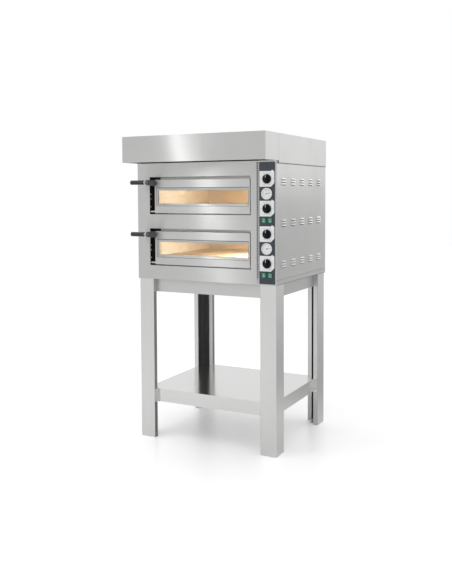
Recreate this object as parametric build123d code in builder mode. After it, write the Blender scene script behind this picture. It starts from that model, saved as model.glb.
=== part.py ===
"""Twin-deck electric pizza oven with a canopy hood, on a four-leg stand with a shelf.

Millimetres. X runs to the right, Y to the back and Z up, seen from the front.
The origin is the centre of the stand's footprint, on the floor.
"""

import os

from build123d import *

os.makedirs("parts", exist_ok=True)

# ---------------------------------------------------------------- driving dimensions
# casing
control_bay_width = 133.5  # right of the door recesses
rear_bay_depth = 107.0  # behind the baking chambers
stand_height = 819.0
bottom_margin = 70.0  # casing below the lower door recess
top_margin = 69.5  # casing above the upper door recess
deck_pitch = 258.0
casing_sheet = 1.5
casing_flange = 14.0
seam = 0.3  # gap between two casing sheets
base_strip = 23.5  # side wall of the base tray
strip_gap = 1.0  # shadow line above the base tray's wall

# door recess
recess_width = 564.5
recess_height = 186.5
left_margin = 72.0

# door
door_gap_left = 30.5  # the lever's slot
door_gap_right = 4.0
door_gap_below = 3.0
door_gap_above = 14.0
door_depth = 34.0
door_sheet = 1.5
door_top_strip = 40.5
door_bottom_strip = 39.0
door_left_post = 10.0
door_right_post = 4.0
door_hem_radius = 5.0
window_lip = 6.0  # depth of the window's sloping edges
window_slope_above = 12.5  # their widths, seen from the front
window_slope_below = 11.0
window_slope_left = 5.5
window_slope_right = 10.0
window_border = 1.0  # liner seen round the window's edge
glass_thickness = 5.0
glass_overlap = 6.0
liner_wall = 12.0
seat_gap = 0.25  # between pieces that nest in each other
door_seal_gap = 4.0  # door's back to the chamber's face

# door hinge
hinge_height = 13.0  # above the recess's lower edge
hinge_setback = 10.0  # behind the door's face
hinge_pin_radius = 4.0
hinge_shoulder_radius = 6.5
hinge_pin_reach = 9.0  # past the door's side wall
hinge_pin_tail = 5.0  # past the recess wall
shaft_clearance = 0.05
axial_play = 0.5

# lever and grip
lever_thickness = 6.0
lever_root_height = 33.0
lever_root_depth = 25.0
lever_reach = 68.0  # door's face to the grip's axis
lever_nose_radius = 12.5
lever_drop = 13.5  # door's top edge to the grip's axis
grip_radius = 11.0
grip_length = 75.5
grip_standoff = 16.0  # lever to grip, where the nut sits
grip_stud_radius = 4.0
grip_stud_depth = 40.0
grip_nut_flats = 15.0
grip_nut_height = 8.0

# baking chambers
chamber_inset_left = 38.0  # from the recess's left side
chamber_inset_right = 6.5
chamber_depth = 515.0
chamber_height = 110.0  # stone to ceiling
chamber_sheet = 2.0
floor_height = 49.0  # stone's top above the recess's lower edge
stone_thickness = 14.0
stone_gap = 2.0
ledge_height = 13.0
ledge_width = 16.0

# heating elements
element_radius = 4.0
element_spacing = 140.0
element_passes = 4
element_ceiling_gap = 12.0
element_front_gap = 40.0
element_tail_gap = 62.0  # from the tail's end to the casing's back

# chamber lamps
lamp_from_face = 150.0
lamp_height = 62.0  # above the stone
lamp_radius = 20.0
lamp_bulge = 12.0
lamp_flange = 7.0
lamp_flange_thickness = 3.0
lamp_holder_length = 34.0
lamp_holder_radius = 15.0

# insulation
wool_gap = 1.5
wool_right = 20.0  # wool between the chamber and the control bay
wool_rear_gap = 37.0  # from the wool to the casing's back

# canopy hood
hood_height = 127.0
hood_overhang = 130.0
hood_skirt = 12.0  # hood side below the casing's top
hood_sheet = 1.5
hood_clearance = 0.5
hood_seam_setback = 22.0  # seam behind the casing's front
hood_seam = 0.8
hood_hem = 12.0
hood_tongue = 20.0
hood_ledge = 20.0
flue_radius = 75.0
flue_height = 34.0
flue_from_rear = 150.0

# control panel
fascia_width = 80.0
fascia_from_right = 8.5
fascia_margin_bottom = 5.0
fascia_margin_top = 7.0
fascia_thickness = 2.0
top_knob_height = 170.0  # all control heights are above the recess's lower edge
thermometer_height = 101.0
low_knob_height = 31.5
switch_drop = 23.5  # below it
switch_spacing = 32.5
panel_hole_play = 0.6

perforation_width = 10.5
perforation_height = 6.6
perforation_pitch = 12.2
perforation_from_fascia = 9.2  # column's centre to the fascia's edge
perforation_end_margin = 11.0

knob_radius = 22.0
knob_skirt = 3.5
knob_hub_radius = 15.5
knob_hub_height = 8.0
knob_taper = 8.0
knob_bar_width = 11.0
knob_bar_length = 40.0
knob_bar_height = 17.0
knob_gap = 1.6
spindle_radius = 3.0
spindle_length = 22.0
regulator_size = 42.0
regulator_depth = 34.0
bush_radius = 4.8
bush_stand = 1.0  # bush in front of the fascia

switch_bezel_width = 25.0
switch_bezel_height = 32.0
switch_bezel_thickness = 2.5
switch_body_width = 21.0
switch_body_height = 25.0
switch_body_depth = 22.0
rocker_width = 17.0
rocker_length = 21.0
rocker_play = 0.35
rocker_pivot_depth = 3.0  # pivot behind the bezel's face
rocker_pin_radius = 1.5
rocker_pin_length = 1.4
rocker_tilt = 9.0
rocker_crest = 1.6  # rocker's ends in front of the bezel
rocker_hollow = 2.0  # hollow of its face, below the ends

thermometer_radius = 27.0
thermometer_rim = 2.5
thermometer_stand = 6.0
thermometer_body_radius = 23.5
thermometer_body_depth = 26.0
thermometer_wall = 1.5
thermometer_edge = 0.8  # bevel of its rim
thermometer_glass_depth = 1.0  # glass behind the rim's face
needle_length = 17.0
needle_tail = 6.0
needle_width = 2.2
needle_thickness = 0.6
needle_flank = 88.0  # angle of its long sides
needle_lift = 0.8
needle_hub_radius = 2.5
needle_pin_radius = 1.0
needle_angle = 78.0  # clockwise from straight up, as on a warm oven
thermometer_glass = 1.5

# side louvres
louvre_length = 50.0
louvre_height = 7.0
louvre_stand = 3.5
louvre_pitch_y = 117.5
louvre_pitch_z = 195.7
louvre_pitch_slot = 12.2
louvre_top_margin = 96.5  # casing's top to the upper group's centre
louvre_shift = 11.5  # pattern's centre forward of the casing's middle

# cable entry
gland_from_right = 55.0
gland_height = 60.0
gland_radius = 12.0
gland_bore = 7.5
gland_length = 22.0
gland_flats = 27.0
gland_flange = 6.0

# stand
stand_inset = 5.0
leg_width = 83.0
leg_depth = 94.0
leg_sheet = 2.0
leg_lip = 25.0
leg_return = 22.0  # second fold, on the lip of the front or back plate
leg_bend = 3.0
foot_plate_width = 52.0
foot_plate_depth = 60.0
foot_plate_thickness = 4.0
foot_hole_radius = 5.5
rail_height = 65.0
rail_drop = 2.0  # rail's top below the leg's top
rail_flange = 20.0
shelf_height = 250.0
shelf_skirt = 67.0
tab_reach = 22.0
bolt_radius = 3.0
bolt_play = 0.2
bolt_head_flats = 10.0
bolt_head_height = 4.0
bolt_spacing = 34.0

# ---------------------------------------------------------------- worked-out places
body_width = left_margin + recess_width + control_bay_width
body_depth = door_depth + door_seal_gap + chamber_depth + rear_bay_depth
left = -body_width / 2
right = body_width / 2
front = -body_depth / 2
rear = body_depth / 2
deck_names = ("lower", "upper")
deck_bases = [stand_height + bottom_margin + i * deck_pitch for i in range(len(deck_names))]
body_top = deck_bases[-1] + recess_height + top_margin
strip_top = stand_height + base_strip

recess_left = left + left_margin
recess_right = recess_left + recess_width
door_left = recess_left + door_gap_left
door_right = recess_right - door_gap_right
door_back = front + door_depth
door_height = recess_height - door_gap_below - door_gap_above
window_left = door_left + door_left_post + window_slope_left
window_right = door_right - door_right_post - window_slope_right
hinge_y = front + hinge_setback
grip_y = front - lever_reach
grip_right = door_left - lever_thickness - grip_standoff
glass_front = front + window_lip
glass_back = glass_front + glass_thickness

face_y = door_back + door_seal_gap  # front of the chamber's face flange
chamber_left = recess_left + chamber_inset_left
chamber_right = recess_right - chamber_inset_right
chamber_back = face_y + chamber_depth
chamber_middle = (chamber_left + chamber_right) / 2

fascia_right = right - fascia_from_right
fascia_left = fascia_right - fascia_width
fascia_middle = (fascia_left + fascia_right) / 2
fascia_front = front - fascia_thickness
panel_back = front + casing_sheet
knob_heights = [base + h for base in deck_bases for h in (low_knob_height, top_knob_height)]
thermometer_heights = [base + thermometer_height for base in deck_bases]
switch_heights = [base - switch_drop for base in deck_bases]

hood_top = body_top + hood_height
hood_half = body_width / 2 + hood_clearance + hood_sheet
hood_rear = rear + hood_clearance + hood_sheet
hood_front = front - hood_overhang
hood_seam_y = front + hood_seam_setback

stand_x = body_width / 2 - stand_inset
stand_y = body_depth / 2 - stand_inset
web_x = stand_x - leg_lip  # planes of the rails' and the shelf's outer faces
web_y = stand_y - leg_lip
tab_x = stand_x - leg_width  # inner faces of the legs' lips
tab_y = stand_y - leg_depth


# ---------------------------------------------------------------- helpers
def save(piece, label):
    """Label a finished piece and write it."""
    piece.label = label
    export_step(piece, f"parts/{label}.step")


def middle(span):
    return (span[0] + span[1]) / 2


def size(span):
    return span[1] - span[0]


def slab(x, y, z, mode=Mode.ADD):
    """A straight-sided slab between two X, two Y and two Z values, in the open part."""
    with BuildSketch(Plane.XY.offset(z[0])) as outline:
        with Locations((middle(x), middle(y))):
            Rectangle(size(x), size(y))
    extrude(outline.sketch, amount=size(z), mode=mode)


def disc(plane, centre, radius, depth, mode=Mode.ADD):
    """A round disc that grows along the plane's normal, in the open part."""
    with BuildSketch(plane) as outline:
        with Locations(centre):
            Circle(radius)
    extrude(outline.sketch, amount=depth, mode=mode)


# ---------------------------------------------------------------- stand
def corners():
    for front_name, y_sign in (("front", -1), ("rear", 1)):
        for side_name, x_sign in (("left", -1), ("right", 1)):
            yield f"{front_name}_{side_name}", x_sign, y_sign


def leg(x_sign, y_sign):
    """A folded leg: two outer plates, a lip on each open edge, a return and a foot plate."""
    centre = (x_sign * (stand_x - leg_width / 2), y_sign * (stand_y - leg_depth / 2))
    open_x = leg_width - leg_lip
    open_y = leg_depth - leg_lip
    foot = (
        x_sign * (stand_x - leg_sheet - foot_plate_width / 2),
        y_sign * (stand_y - leg_sheet - foot_plate_depth / 2),
    )
    with BuildPart() as piece:
        with BuildSketch(Plane.XY):
            with Locations(centre):
                RectangleRounded(leg_width, leg_depth, leg_bend)
                RectangleRounded(
                    leg_width - 2 * leg_sheet,
                    leg_depth - 2 * leg_sheet,
                    leg_bend - leg_sheet,
                    mode=Mode.SUBTRACT,
                )
            with Locations((x_sign * (tab_x + open_x / 2), y_sign * (tab_y + open_y / 2))):
                Rectangle(open_x, open_y, mode=Mode.SUBTRACT)
            return_y = stand_y - leg_lip + leg_sheet / 2
            with Locations((x_sign * (tab_x + leg_return / 2), y_sign * return_y)):
                Rectangle(leg_return, leg_sheet)
        extrude(amount=stand_height)
        with BuildSketch(Plane.XY):
            with Locations(foot):
                Rectangle(foot_plate_width, foot_plate_depth)
                Circle(foot_hole_radius, mode=Mode.SUBTRACT)
        extrude(amount=foot_plate_thickness)
        for plane, places in (
            (Plane.YZ.offset(x_sign * tab_x), [(y_sign * tab_middle_y, z) for z in bolt_levels]),
            (Plane.XZ.offset(-y_sign * tab_y), [(x_sign * tab_middle_x, z) for z in bolt_levels]),
        ):
            with BuildSketch(plane):
                with Locations(*places):
                    Circle(bolt_radius + bolt_play)
            extrude(amount=2 * leg_sheet, both=True, mode=Mode.SUBTRACT)
    return piece.part


rail_top = stand_height - rail_drop
rail_middle = rail_top - rail_height / 2
shelf_middle = shelf_height - shelf_skirt / 2
tab_middle_x = stand_x - tab_reach / 2 - leg_sheet
tab_middle_y = stand_y - tab_reach / 2 - leg_sheet
bolt_levels = [
    level + side * bolt_spacing / 2 for level in (shelf_middle, rail_middle) for side in (-1, 1)
]


def tabbed_skirt(across, web, tab, half, top, height, flange=0.0):
    """A folded skirt or rail: a web with an outward tab at each end and an optional inner flange.

    across is the plane whose first axis runs along the skirt; half is the skirt's half length.
    """
    tab_end = web + tab_reach
    with BuildSketch(across.offset(top - height)) as outline:
        with Locations((0, web - leg_sheet / 2)):
            Rectangle(2 * half, leg_sheet)
        for side in (-1, 1):
            with Locations((side * (half - leg_sheet / 2), (web - leg_sheet + tab_end) / 2)):
                Rectangle(leg_sheet, tab_end - web + leg_sheet)
    extrude(outline.sketch, amount=height)
    if flange:
        for level in (top - height, top - leg_sheet):
            with BuildSketch(across.offset(level)) as flange_outline:
                with Locations((0, web - flange / 2)):
                    Rectangle(2 * (half - leg_sheet), flange)
            extrude(flange_outline.sketch, amount=leg_sheet)
    levels = [top - height / 2 - bolt_spacing / 2, top - height / 2 + bolt_spacing / 2]
    holes = Plane(across.from_local_coords((half, 0, 0)), x_dir=across.y_dir, z_dir=across.x_dir)
    with BuildSketch(holes) as hole_outline:
        with Locations(*[(tab, level) for level in levels]):
            Circle(bolt_radius + bolt_play)
    extrude(hole_outline.sketch, amount=3 * half, both=True, mode=Mode.SUBTRACT)


# a plane for each side of the stand: X along the side, Y outwards, Z up
side_planes = {
    "front": Plane((0, 0, 0), x_dir=(-1, 0, 0), z_dir=(0, 0, 1)),
    "rear": Plane((0, 0, 0), x_dir=(1, 0, 0), z_dir=(0, 0, 1)),
    "left": Plane((0, 0, 0), x_dir=(0, 1, 0), z_dir=(0, 0, 1)),
    "right": Plane((0, 0, 0), x_dir=(0, -1, 0), z_dir=(0, 0, 1)),
}


def skirt_sizes(side):
    """Web plane, tab hole place and half length of a rail or skirt on one side of the stand."""
    if side in ("front", "rear"):
        return web_y, tab_middle_y, tab_x
    return web_x, tab_middle_x, tab_y


for name, x_sign, y_sign in corners():
    save(leg(x_sign, y_sign), f"leg_{name}")

for side, plane in side_planes.items():
    web, tab, half = skirt_sizes(side)
    with BuildPart() as rail:
        tabbed_skirt(plane, web, tab, half, rail_top, rail_height, rail_flange)
    save(rail.part, f"rail_{side}")

with BuildPart() as shelf:
    with BuildSketch(Plane.XY.offset(shelf_height - leg_sheet)):
        Rectangle(2 * web_x, 2 * web_y)
    extrude(amount=leg_sheet)
    for side, plane in side_planes.items():
        web, tab, half = skirt_sizes(side)
        tabbed_skirt(plane, web, tab, half, shelf_height, shelf_skirt)
save(shelf.part, "shelf")

# hexagon bolts through the lips into the tabs, heads inside the legs
with BuildPart() as stand_bolts:
    for name, x_sign, y_sign in corners():
        for normal, face, places in (
            (Plane.YZ, x_sign * (tab_x + leg_sheet), [(y_sign * tab_middle_y, z) for z in bolt_levels]),
            (Plane.XZ, -y_sign * (tab_y + leg_sheet), [(x_sign * tab_middle_x, z) for z in bolt_levels]),
        ):
            outwards = 1 if face > 0 else -1
            with BuildSketch(normal.offset(face)):
                with Locations(*places):
                    RegularPolygon(bolt_head_flats / 2, 6, major_radius=False)
            extrude(amount=outwards * bolt_head_height)
            with BuildSketch(normal.offset(face)):
                with Locations(*places):
                    Circle(bolt_radius)
            extrude(amount=-outwards * 2 * leg_sheet)
save(stand_bolts.part, "stand_bolts")

# ---------------------------------------------------------------- casing
side_inner = body_width / 2 - casing_sheet
between_sides = (-side_inner + seam, side_inner - seam)
inner_front = panel_back + seam
inner_rear = rear - casing_sheet - seam

with BuildPart() as base_tray:
    slab((left, right), (inner_front, rear), (stand_height, strip_top))
    offset(amount=-casing_sheet, openings=base_tray.faces().sort_by(Axis.Z)[-1], kind=Kind.INTERSECTION)
save(base_tray.part, "base_tray")

perforation_x = fascia_left - perforation_from_fascia
perforation_span = body_top - stand_height - 2 * perforation_end_margin
perforation_count = int(perforation_span // perforation_pitch) + 1

with BuildPart() as front_panel:
    with BuildSketch(Plane.XZ.offset(-front)):
        with Locations((0, (stand_height + body_top) / 2)):
            Rectangle(body_width, body_top - stand_height)
        for base in deck_bases:
            with Locations(((recess_left + recess_right) / 2, base + recess_height / 2)):
                Rectangle(recess_width, recess_height, mode=Mode.SUBTRACT)
        with Locations((perforation_x, (stand_height + body_top) / 2)):
            with GridLocations(0, perforation_pitch, 1, perforation_count):
                Rectangle(perforation_width, perforation_height, mode=Mode.SUBTRACT)
        with Locations(*[(fascia_middle, z) for z in knob_heights]):
            Circle(bush_radius + panel_hole_play, mode=Mode.SUBTRACT)
        with Locations(*[(fascia_middle, z) for z in thermometer_heights]):
            Circle(thermometer_body_radius + panel_hole_play, mode=Mode.SUBTRACT)
        for z in switch_heights:
            with Locations((fascia_middle, z)):
                with GridLocations(switch_spacing, 0, 2, 1):
                    Rectangle(
                        switch_body_width + panel_hole_play,
                        switch_body_height + panel_hole_play,
                        mode=Mode.SUBTRACT,
                    )
    extrude(amount=-casing_sheet)
    with BuildSketch(Plane.XZ.offset(-panel_back)):
        flange_bottom = strip_top + strip_gap
        flange_top = body_top - casing_sheet - seam
        with Locations((0, (flange_bottom + flange_top) / 2)):
            Rectangle(size(between_sides), flange_top - flange_bottom)
            Rectangle(
                size(between_sides) - 2 * casing_sheet,
                flange_top - flange_bottom - 2 * casing_sheet,
                mode=Mode.SUBTRACT,
            )
    extrude(amount=-casing_flange)
save(front_panel.part, "front_panel")

side_bottom = strip_top + strip_gap


def side_sheet(x_sign):
    """A casing side with folded upper and lower flanges, in the open part."""
    outer = x_sign * body_width / 2
    inner = outer - x_sign * casing_sheet
    flange_in = outer - x_sign * casing_flange
    x_sheet = sorted((outer, inner))
    x_flange = sorted((outer, flange_in))
    slab(x_sheet, (panel_back + seam, rear), (side_bottom, body_top))
    y_flange = (panel_back + casing_flange + seam, rear - casing_flange - seam)
    slab(x_flange, y_flange, (side_bottom, side_bottom + casing_sheet))


with BuildPart() as side_panel_left:
    side_sheet(-1)
save(side_panel_left.part, "side_panel_left")

# one pressed louvre: a sloping hood, closed at its ends and open below
louvre_slope = [(0, louvre_height / 2), (louvre_stand, -louvre_height / 2), (0, -louvre_height / 2)]
with BuildPart() as louvre_hood:
    with BuildSketch(Plane.XZ.offset(-louvre_length / 2)):
        with BuildLine():
            Polyline(*louvre_slope, close=True)
        make_face()
    extrude(amount=louvre_length)
with BuildPart() as louvre_throat:
    with BuildSketch(Plane.XZ.offset(casing_sheet - louvre_length / 2)):
        with BuildLine():
            Polyline(
                (-2 * casing_sheet, louvre_height / 2 - casing_sheet),
                (0, louvre_height / 2 - 2 * casing_sheet),
                (louvre_stand - casing_sheet, -louvre_height / 2),
                (louvre_stand - casing_sheet, -louvre_height),
                (-2 * casing_sheet, -louvre_height),
                close=True,
            )
        make_face()
    extrude(amount=louvre_length - 2 * casing_sheet)
louvre_places = [
    (
        right,
        column * louvre_pitch_y - louvre_shift,
        body_top - louvre_top_margin - row * louvre_pitch_z + slot * louvre_pitch_slot,
    )
    for column in (-2, -1, 0, 1, 2)
    for row in (0, 1, 2)
    for slot in (-1, 0, 1)
]
with BuildPart() as side_panel_right:
    side_sheet(1)
    with Locations(*louvre_places):
        add(louvre_hood.part)
        add(louvre_throat.part, mode=Mode.SUBTRACT)
save(side_panel_right.part, "side_panel_right")

gland_x = right - gland_from_right
gland_z = stand_height + gland_height
with BuildPart() as back_panel:
    slab(between_sides, (rear - casing_sheet, rear), (strip_top + strip_gap, body_top))
    for z in (strip_top + strip_gap, body_top - casing_sheet - seam - casing_sheet):
        slab(between_sides, (rear - casing_flange, rear), (z, z + casing_sheet))
    gland_hole = gland_radius - 2 * panel_hole_play
    disc(Plane.XZ.offset(-rear), (gland_x, gland_z), gland_hole, casing_sheet, Mode.SUBTRACT)
save(back_panel.part, "back_panel")

with BuildPart() as top_cover:
    slab(between_sides, (inner_front, inner_rear), (body_top - casing_sheet, body_top))
save(top_cover.part, "top_cover")

with BuildPart() as cable_gland:
    with BuildSketch(Plane.XZ.offset(-rear)):
        with Locations((gland_x, gland_z)):
            RegularPolygon(gland_flats / 2, 6, major_radius=False)
    extrude(amount=-gland_flange)
    outer_length = gland_length - gland_flange
    disc(Plane.XZ.offset(-rear - gland_flange), (gland_x, gland_z), gland_radius, -outer_length)
    chamfer(cable_gland.edges().group_by(Axis.Y)[-1], gland_radius / 4)
    disc(Plane.XZ.offset(-rear), (gland_x, gland_z), gland_radius - 3 * panel_hole_play, casing_flange)
    disc(
        Plane.XZ.offset(-rear + casing_flange),
        (gland_x, gland_z),
        gland_bore,
        -casing_flange - 2 * gland_length,
        Mode.SUBTRACT,
    )
save(cable_gland.part, "cable_gland")

# ---------------------------------------------------------------- canopy hood
half_inner = hood_half - hood_sheet
with BuildPart() as hood_visor:
    slab((-hood_half, hood_half), (hood_front, hood_seam_y - hood_seam), (body_top, hood_top))
    slab(
        (-half_inner, half_inner),
        (hood_front + hood_sheet, hood_seam_y),
        (body_top + hood_sheet, hood_top - hood_sheet),
        Mode.SUBTRACT,
    )
    slab(
        (-half_inner + hood_hem, half_inner - hood_hem),
        (hood_front + hood_sheet + hood_hem, hood_seam_y),
        (body_top, body_top + hood_sheet),
        Mode.SUBTRACT,
    )
    slab(
        (-half_inner, half_inner),
        (front - seam, hood_seam_y),
        (body_top, body_top + hood_sheet),
        Mode.SUBTRACT,
    )
save(hood_visor.part, "hood_visor")

flue_y = rear - flue_from_rear
with BuildPart() as hood_shell:
    slab((-hood_half, hood_half), (hood_seam_y, hood_rear), (body_top - hood_skirt, hood_top))
    slab(
        (-half_inner, half_inner),
        (hood_seam_y, hood_rear - hood_sheet),
        (body_top - hood_skirt, hood_top - hood_sheet),
        Mode.SUBTRACT,
    )
    # tongue inside the visor
    tongue_half = half_inner - seam
    tongue_top = hood_top - hood_sheet - seam
    tongue_low = body_top + 2 * hood_sheet
    tongue_y = (hood_seam_y - hood_tongue, hood_seam_y + hood_tongue)
    slab((-tongue_half, tongue_half), tongue_y, (tongue_low, tongue_top))
    slab(
        (-tongue_half + hood_sheet, tongue_half - hood_sheet),
        tongue_y,
        (tongue_low, tongue_top - hood_sheet),
        Mode.SUBTRACT,
    )
    # webs that join the tongue to the shell
    slab((-half_inner, half_inner), (hood_seam_y, tongue_y[1]), (tongue_top, hood_top - hood_sheet))
    for side in (-1, 1):
        slab(
            sorted((side * tongue_half, side * half_inner)),
            (hood_seam_y, hood_seam_y + hood_tongue),
            (tongue_low, tongue_top),
        )
        # ledge on the casing's top edge
        slab(
            sorted((side * (half_inner - hood_ledge), side * half_inner)),
            (hood_seam_y, hood_rear - hood_sheet),
            (body_top, body_top + hood_sheet),
        )
    disc(Plane.XY.offset(hood_top), (0, flue_y), flue_radius, flue_height)
    disc(
        Plane.XY.offset(hood_top - 2 * hood_sheet),
        (0, flue_y),
        flue_radius - hood_sheet,
        flue_height + 3 * hood_sheet,
        Mode.SUBTRACT,
    )
save(hood_shell.part, "hood_shell")


# ---------------------------------------------------------------- decks
def chamber(base):
    """The door recess's collar, the face flange and the baking chamber behind it, in one welded liner."""
    collar_x = (recess_left, recess_right)
    collar_z = (base, base + recess_height)
    box_low = base + floor_height - stone_thickness - ledge_height
    box_high = base + floor_height + chamber_height
    wall = chamber_sheet
    with BuildPart() as piece:
        slab(
            (collar_x[0] - wall, collar_x[1] + wall),
            (panel_back + seam, face_y + wall),
            (collar_z[0] - wall, collar_z[1] + wall),
        )
        slab(
            (chamber_left - wall, chamber_right + wall),
            (face_y, chamber_back + wall),
            (box_low - wall, box_high + wall),
        )
        slab(collar_x, (panel_back, face_y), collar_z, Mode.SUBTRACT)
        slab((chamber_left, chamber_right), (face_y, chamber_back), (box_low, box_high), Mode.SUBTRACT)
        for edge, side in ((chamber_left, 1), (chamber_right, -1)):
            side_x = sorted((edge, edge + side * ledge_width))
            slab(side_x, (face_y, chamber_back), (box_low, box_low + ledge_height))
        # hinge pins pass the collar's side walls
        with BuildSketch(Plane.YZ.offset(recess_left - 2 * wall)):
            with Locations((hinge_y, base + hinge_height)):
                Circle(hinge_pin_radius + shaft_clearance)
        extrude(amount=recess_width + 4 * wall, mode=Mode.SUBTRACT)
        # lamp and element holes
        with BuildSketch(Plane.YZ.offset(chamber_right - wall)):
            with Locations((face_y + lamp_from_face, base + floor_height + lamp_height)):
                Circle(lamp_radius + seat_gap)
        extrude(amount=3 * wall, mode=Mode.SUBTRACT)
        with BuildSketch(Plane.XZ.offset(-chamber_back - 2 * wall)):
            with Locations(*element_ends(base)):
                Circle(element_radius + shaft_clearance)
        extrude(amount=4 * wall, mode=Mode.SUBTRACT)
    return piece.part


def element_levels(base):
    """Heights of the floor element and the ceiling element of a deck."""
    low = base + floor_height - stone_thickness - ledge_height / 2
    return low, base + floor_height + chamber_height - element_ceiling_gap


def element_ends(base):
    """Where the elements' tails pass the chamber's back wall."""
    half = element_spacing * (element_passes - 1) / 2
    return [(chamber_middle + side * half, z) for z in element_levels(base) for side in (-1, 1)]


def elements(base):
    """Two tubular heating elements, each bent to and fro in one plane."""
    pieces = []
    bend = element_spacing / 2
    tail = rear - element_tail_gap
    near = face_y + element_front_gap + bend
    far = chamber_back - element_front_gap - bend
    first = chamber_middle - element_spacing * (element_passes - 1) / 2
    for level in element_levels(base):
        with BuildPart() as tube:
            with BuildLine(Plane.XY.offset(level)) as route:
                for i in range(element_passes):
                    x = first + i * element_spacing
                    forwards = i % 2 == 0
                    back_end = tail if i in (0, element_passes - 1) else far
                    start, stop = ((x, back_end), (x, near)) if forwards else ((x, near), (x, back_end))
                    Line(start, stop)
                    if i < element_passes - 1:
                        turn = near - bend if forwards else far + bend
                        end = near if forwards else far
                        ThreePointArc((x, end), (x + bend, turn), (x + element_spacing, end))
            with BuildSketch(Plane((first, tail, level), x_dir=(1, 0, 0), z_dir=(0, -1, 0))):
                Circle(element_radius)
            sweep(path=route.line)
        pieces.append(tube.part)
    return Compound(children=pieces)


def hearth(base):
    """The refractory slab, which rests on the chamber's two ledges."""
    top = base + floor_height
    with BuildPart() as piece:
        slab(
            (chamber_left + stone_gap, chamber_right - stone_gap),
            (face_y + stone_gap, chamber_back - stone_gap),
            (top - stone_thickness, top),
        )
        chamfer(piece.faces().sort_by(Axis.Z)[-1].edges(), stone_gap / 2)
    return piece.part


def lamp(base):
    """A chamber lamp: a domed glass inside, a flange and a holder in the control bay."""
    centre = (chamber_right, face_y + lamp_from_face, base + floor_height + lamp_height)
    flange_start = chamber_sheet
    flange_end = flange_start + lamp_flange_thickness
    with BuildPart() as piece:
        # local X runs out of the chamber along the lamp's axis
        with BuildSketch(Plane(centre, x_dir=(1, 0, 0), z_dir=(0, -1, 0))):
            with BuildLine():
                TangentArc((-lamp_bulge, 0), (0, lamp_radius), tangent=(0, 1))
                Polyline(
                    (0, lamp_radius),
                    (flange_start, lamp_radius),
                    (flange_start, lamp_radius + lamp_flange),
                    (flange_end, lamp_radius + lamp_flange),
                    (flange_end, lamp_holder_radius),
                    (lamp_holder_length, lamp_holder_radius),
                    (lamp_holder_length, 0),
                    (-lamp_bulge, 0),
                )
            make_face()
        revolve(axis=Axis(centre, (1, 0, 0)))
    return piece.part


def window_heights(base):
    """The window's lower and upper edge at the glass."""
    low = base + door_gap_below
    high = low + door_height
    return low + door_bottom_strip + window_slope_below, high - door_top_strip - window_slope_above


def funnel(window_z, growth, mode=Mode.ADD):
    """The space between the window's sloping edges, grown by a sheet if need be, in the open part."""
    mouth_x = (door_left + door_left_post, door_right - door_right_post)
    mouth_z = (window_z[0] - window_slope_below, window_z[1] + window_slope_above)
    with BuildSketch(Plane.XZ.offset(-front)) as mouth:
        with Locations((middle(mouth_x), middle(mouth_z))):
            Rectangle(size(mouth_x) + 2 * growth, size(mouth_z) + 2 * growth)
    with BuildSketch(Plane.XZ.offset(-glass_front)) as throat:
        with Locations((middle((window_left, window_right)), middle(window_z))):
            Rectangle(window_right - window_left + 2 * growth, size(window_z) + 2 * growth)
    loft([mouth.sketch, throat.sketch], mode=mode)


def door_frame(base):
    """The door's front: a folded pan with a lipped window and two holes for the hinge pins."""
    low = base + door_gap_below
    high = low + door_height
    window_z = window_heights(base)
    with BuildPart() as piece:
        with BuildSketch(Plane.YZ.offset(door_left)):
            with Locations((middle((front, door_back)), middle((low, high)))):
                Rectangle(door_depth, door_height)
        extrude(amount=door_right - door_left)
        hem = piece.edges().filter_by(Axis.X).group_by(Axis.Y)[0]
        fillet(hem.sort_by(Axis.Z)[0], door_hem_radius)
        fillet(hem.sort_by(Axis.Z)[-1], door_hem_radius / 2)
        offset(amount=-door_sheet, openings=piece.faces().sort_by(Axis.Y)[-1], kind=Kind.INTERSECTION)
        funnel(window_z, door_sheet)
        funnel(window_z, 0, Mode.SUBTRACT)
        with BuildSketch(Plane.YZ.offset(door_left - door_sheet)):
            with Locations((hinge_y, base + hinge_height)):
                Circle(hinge_pin_radius + shaft_clearance)
        extrude(amount=door_right - door_left + 2 * door_sheet, mode=Mode.SUBTRACT)
    return piece.part


def door_glass(base):
    low, high = window_heights(base)
    with BuildPart() as piece:
        slab(
            (window_left - glass_overlap, window_right + glass_overlap),
            (glass_front, glass_back),
            (low - glass_overlap, high + glass_overlap),
        )
    return piece.part


def door_liner(base):
    """The door's back: a shallow pan that nests in the frame, with a lip up to the glass."""
    low = base + door_gap_below
    high = low + door_height
    nest = door_sheet + seat_gap
    x = (door_left + nest, door_right - nest)
    z = (low + nest, high - nest)
    hole_x = (window_left + window_border, window_right - window_border)
    window_z = window_heights(base)
    hole_z = (window_z[0] + window_border, window_z[1] - window_border)
    with BuildPart() as piece:
        slab(x, (door_back - liner_wall, door_back), z)
        slab(
            (x[0] + door_sheet, x[1] - door_sheet),
            (door_back - liner_wall, door_back - door_sheet),
            (z[0] + door_sheet, z[1] - door_sheet),
            Mode.SUBTRACT,
        )
        slab(
            (hole_x[0] - door_sheet, hole_x[1] + door_sheet),
            (glass_back, door_back),
            (hole_z[0] - door_sheet, hole_z[1] + door_sheet),
        )
        slab(hole_x, (glass_back, door_back), hole_z, Mode.SUBTRACT)
    return piece.part


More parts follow.
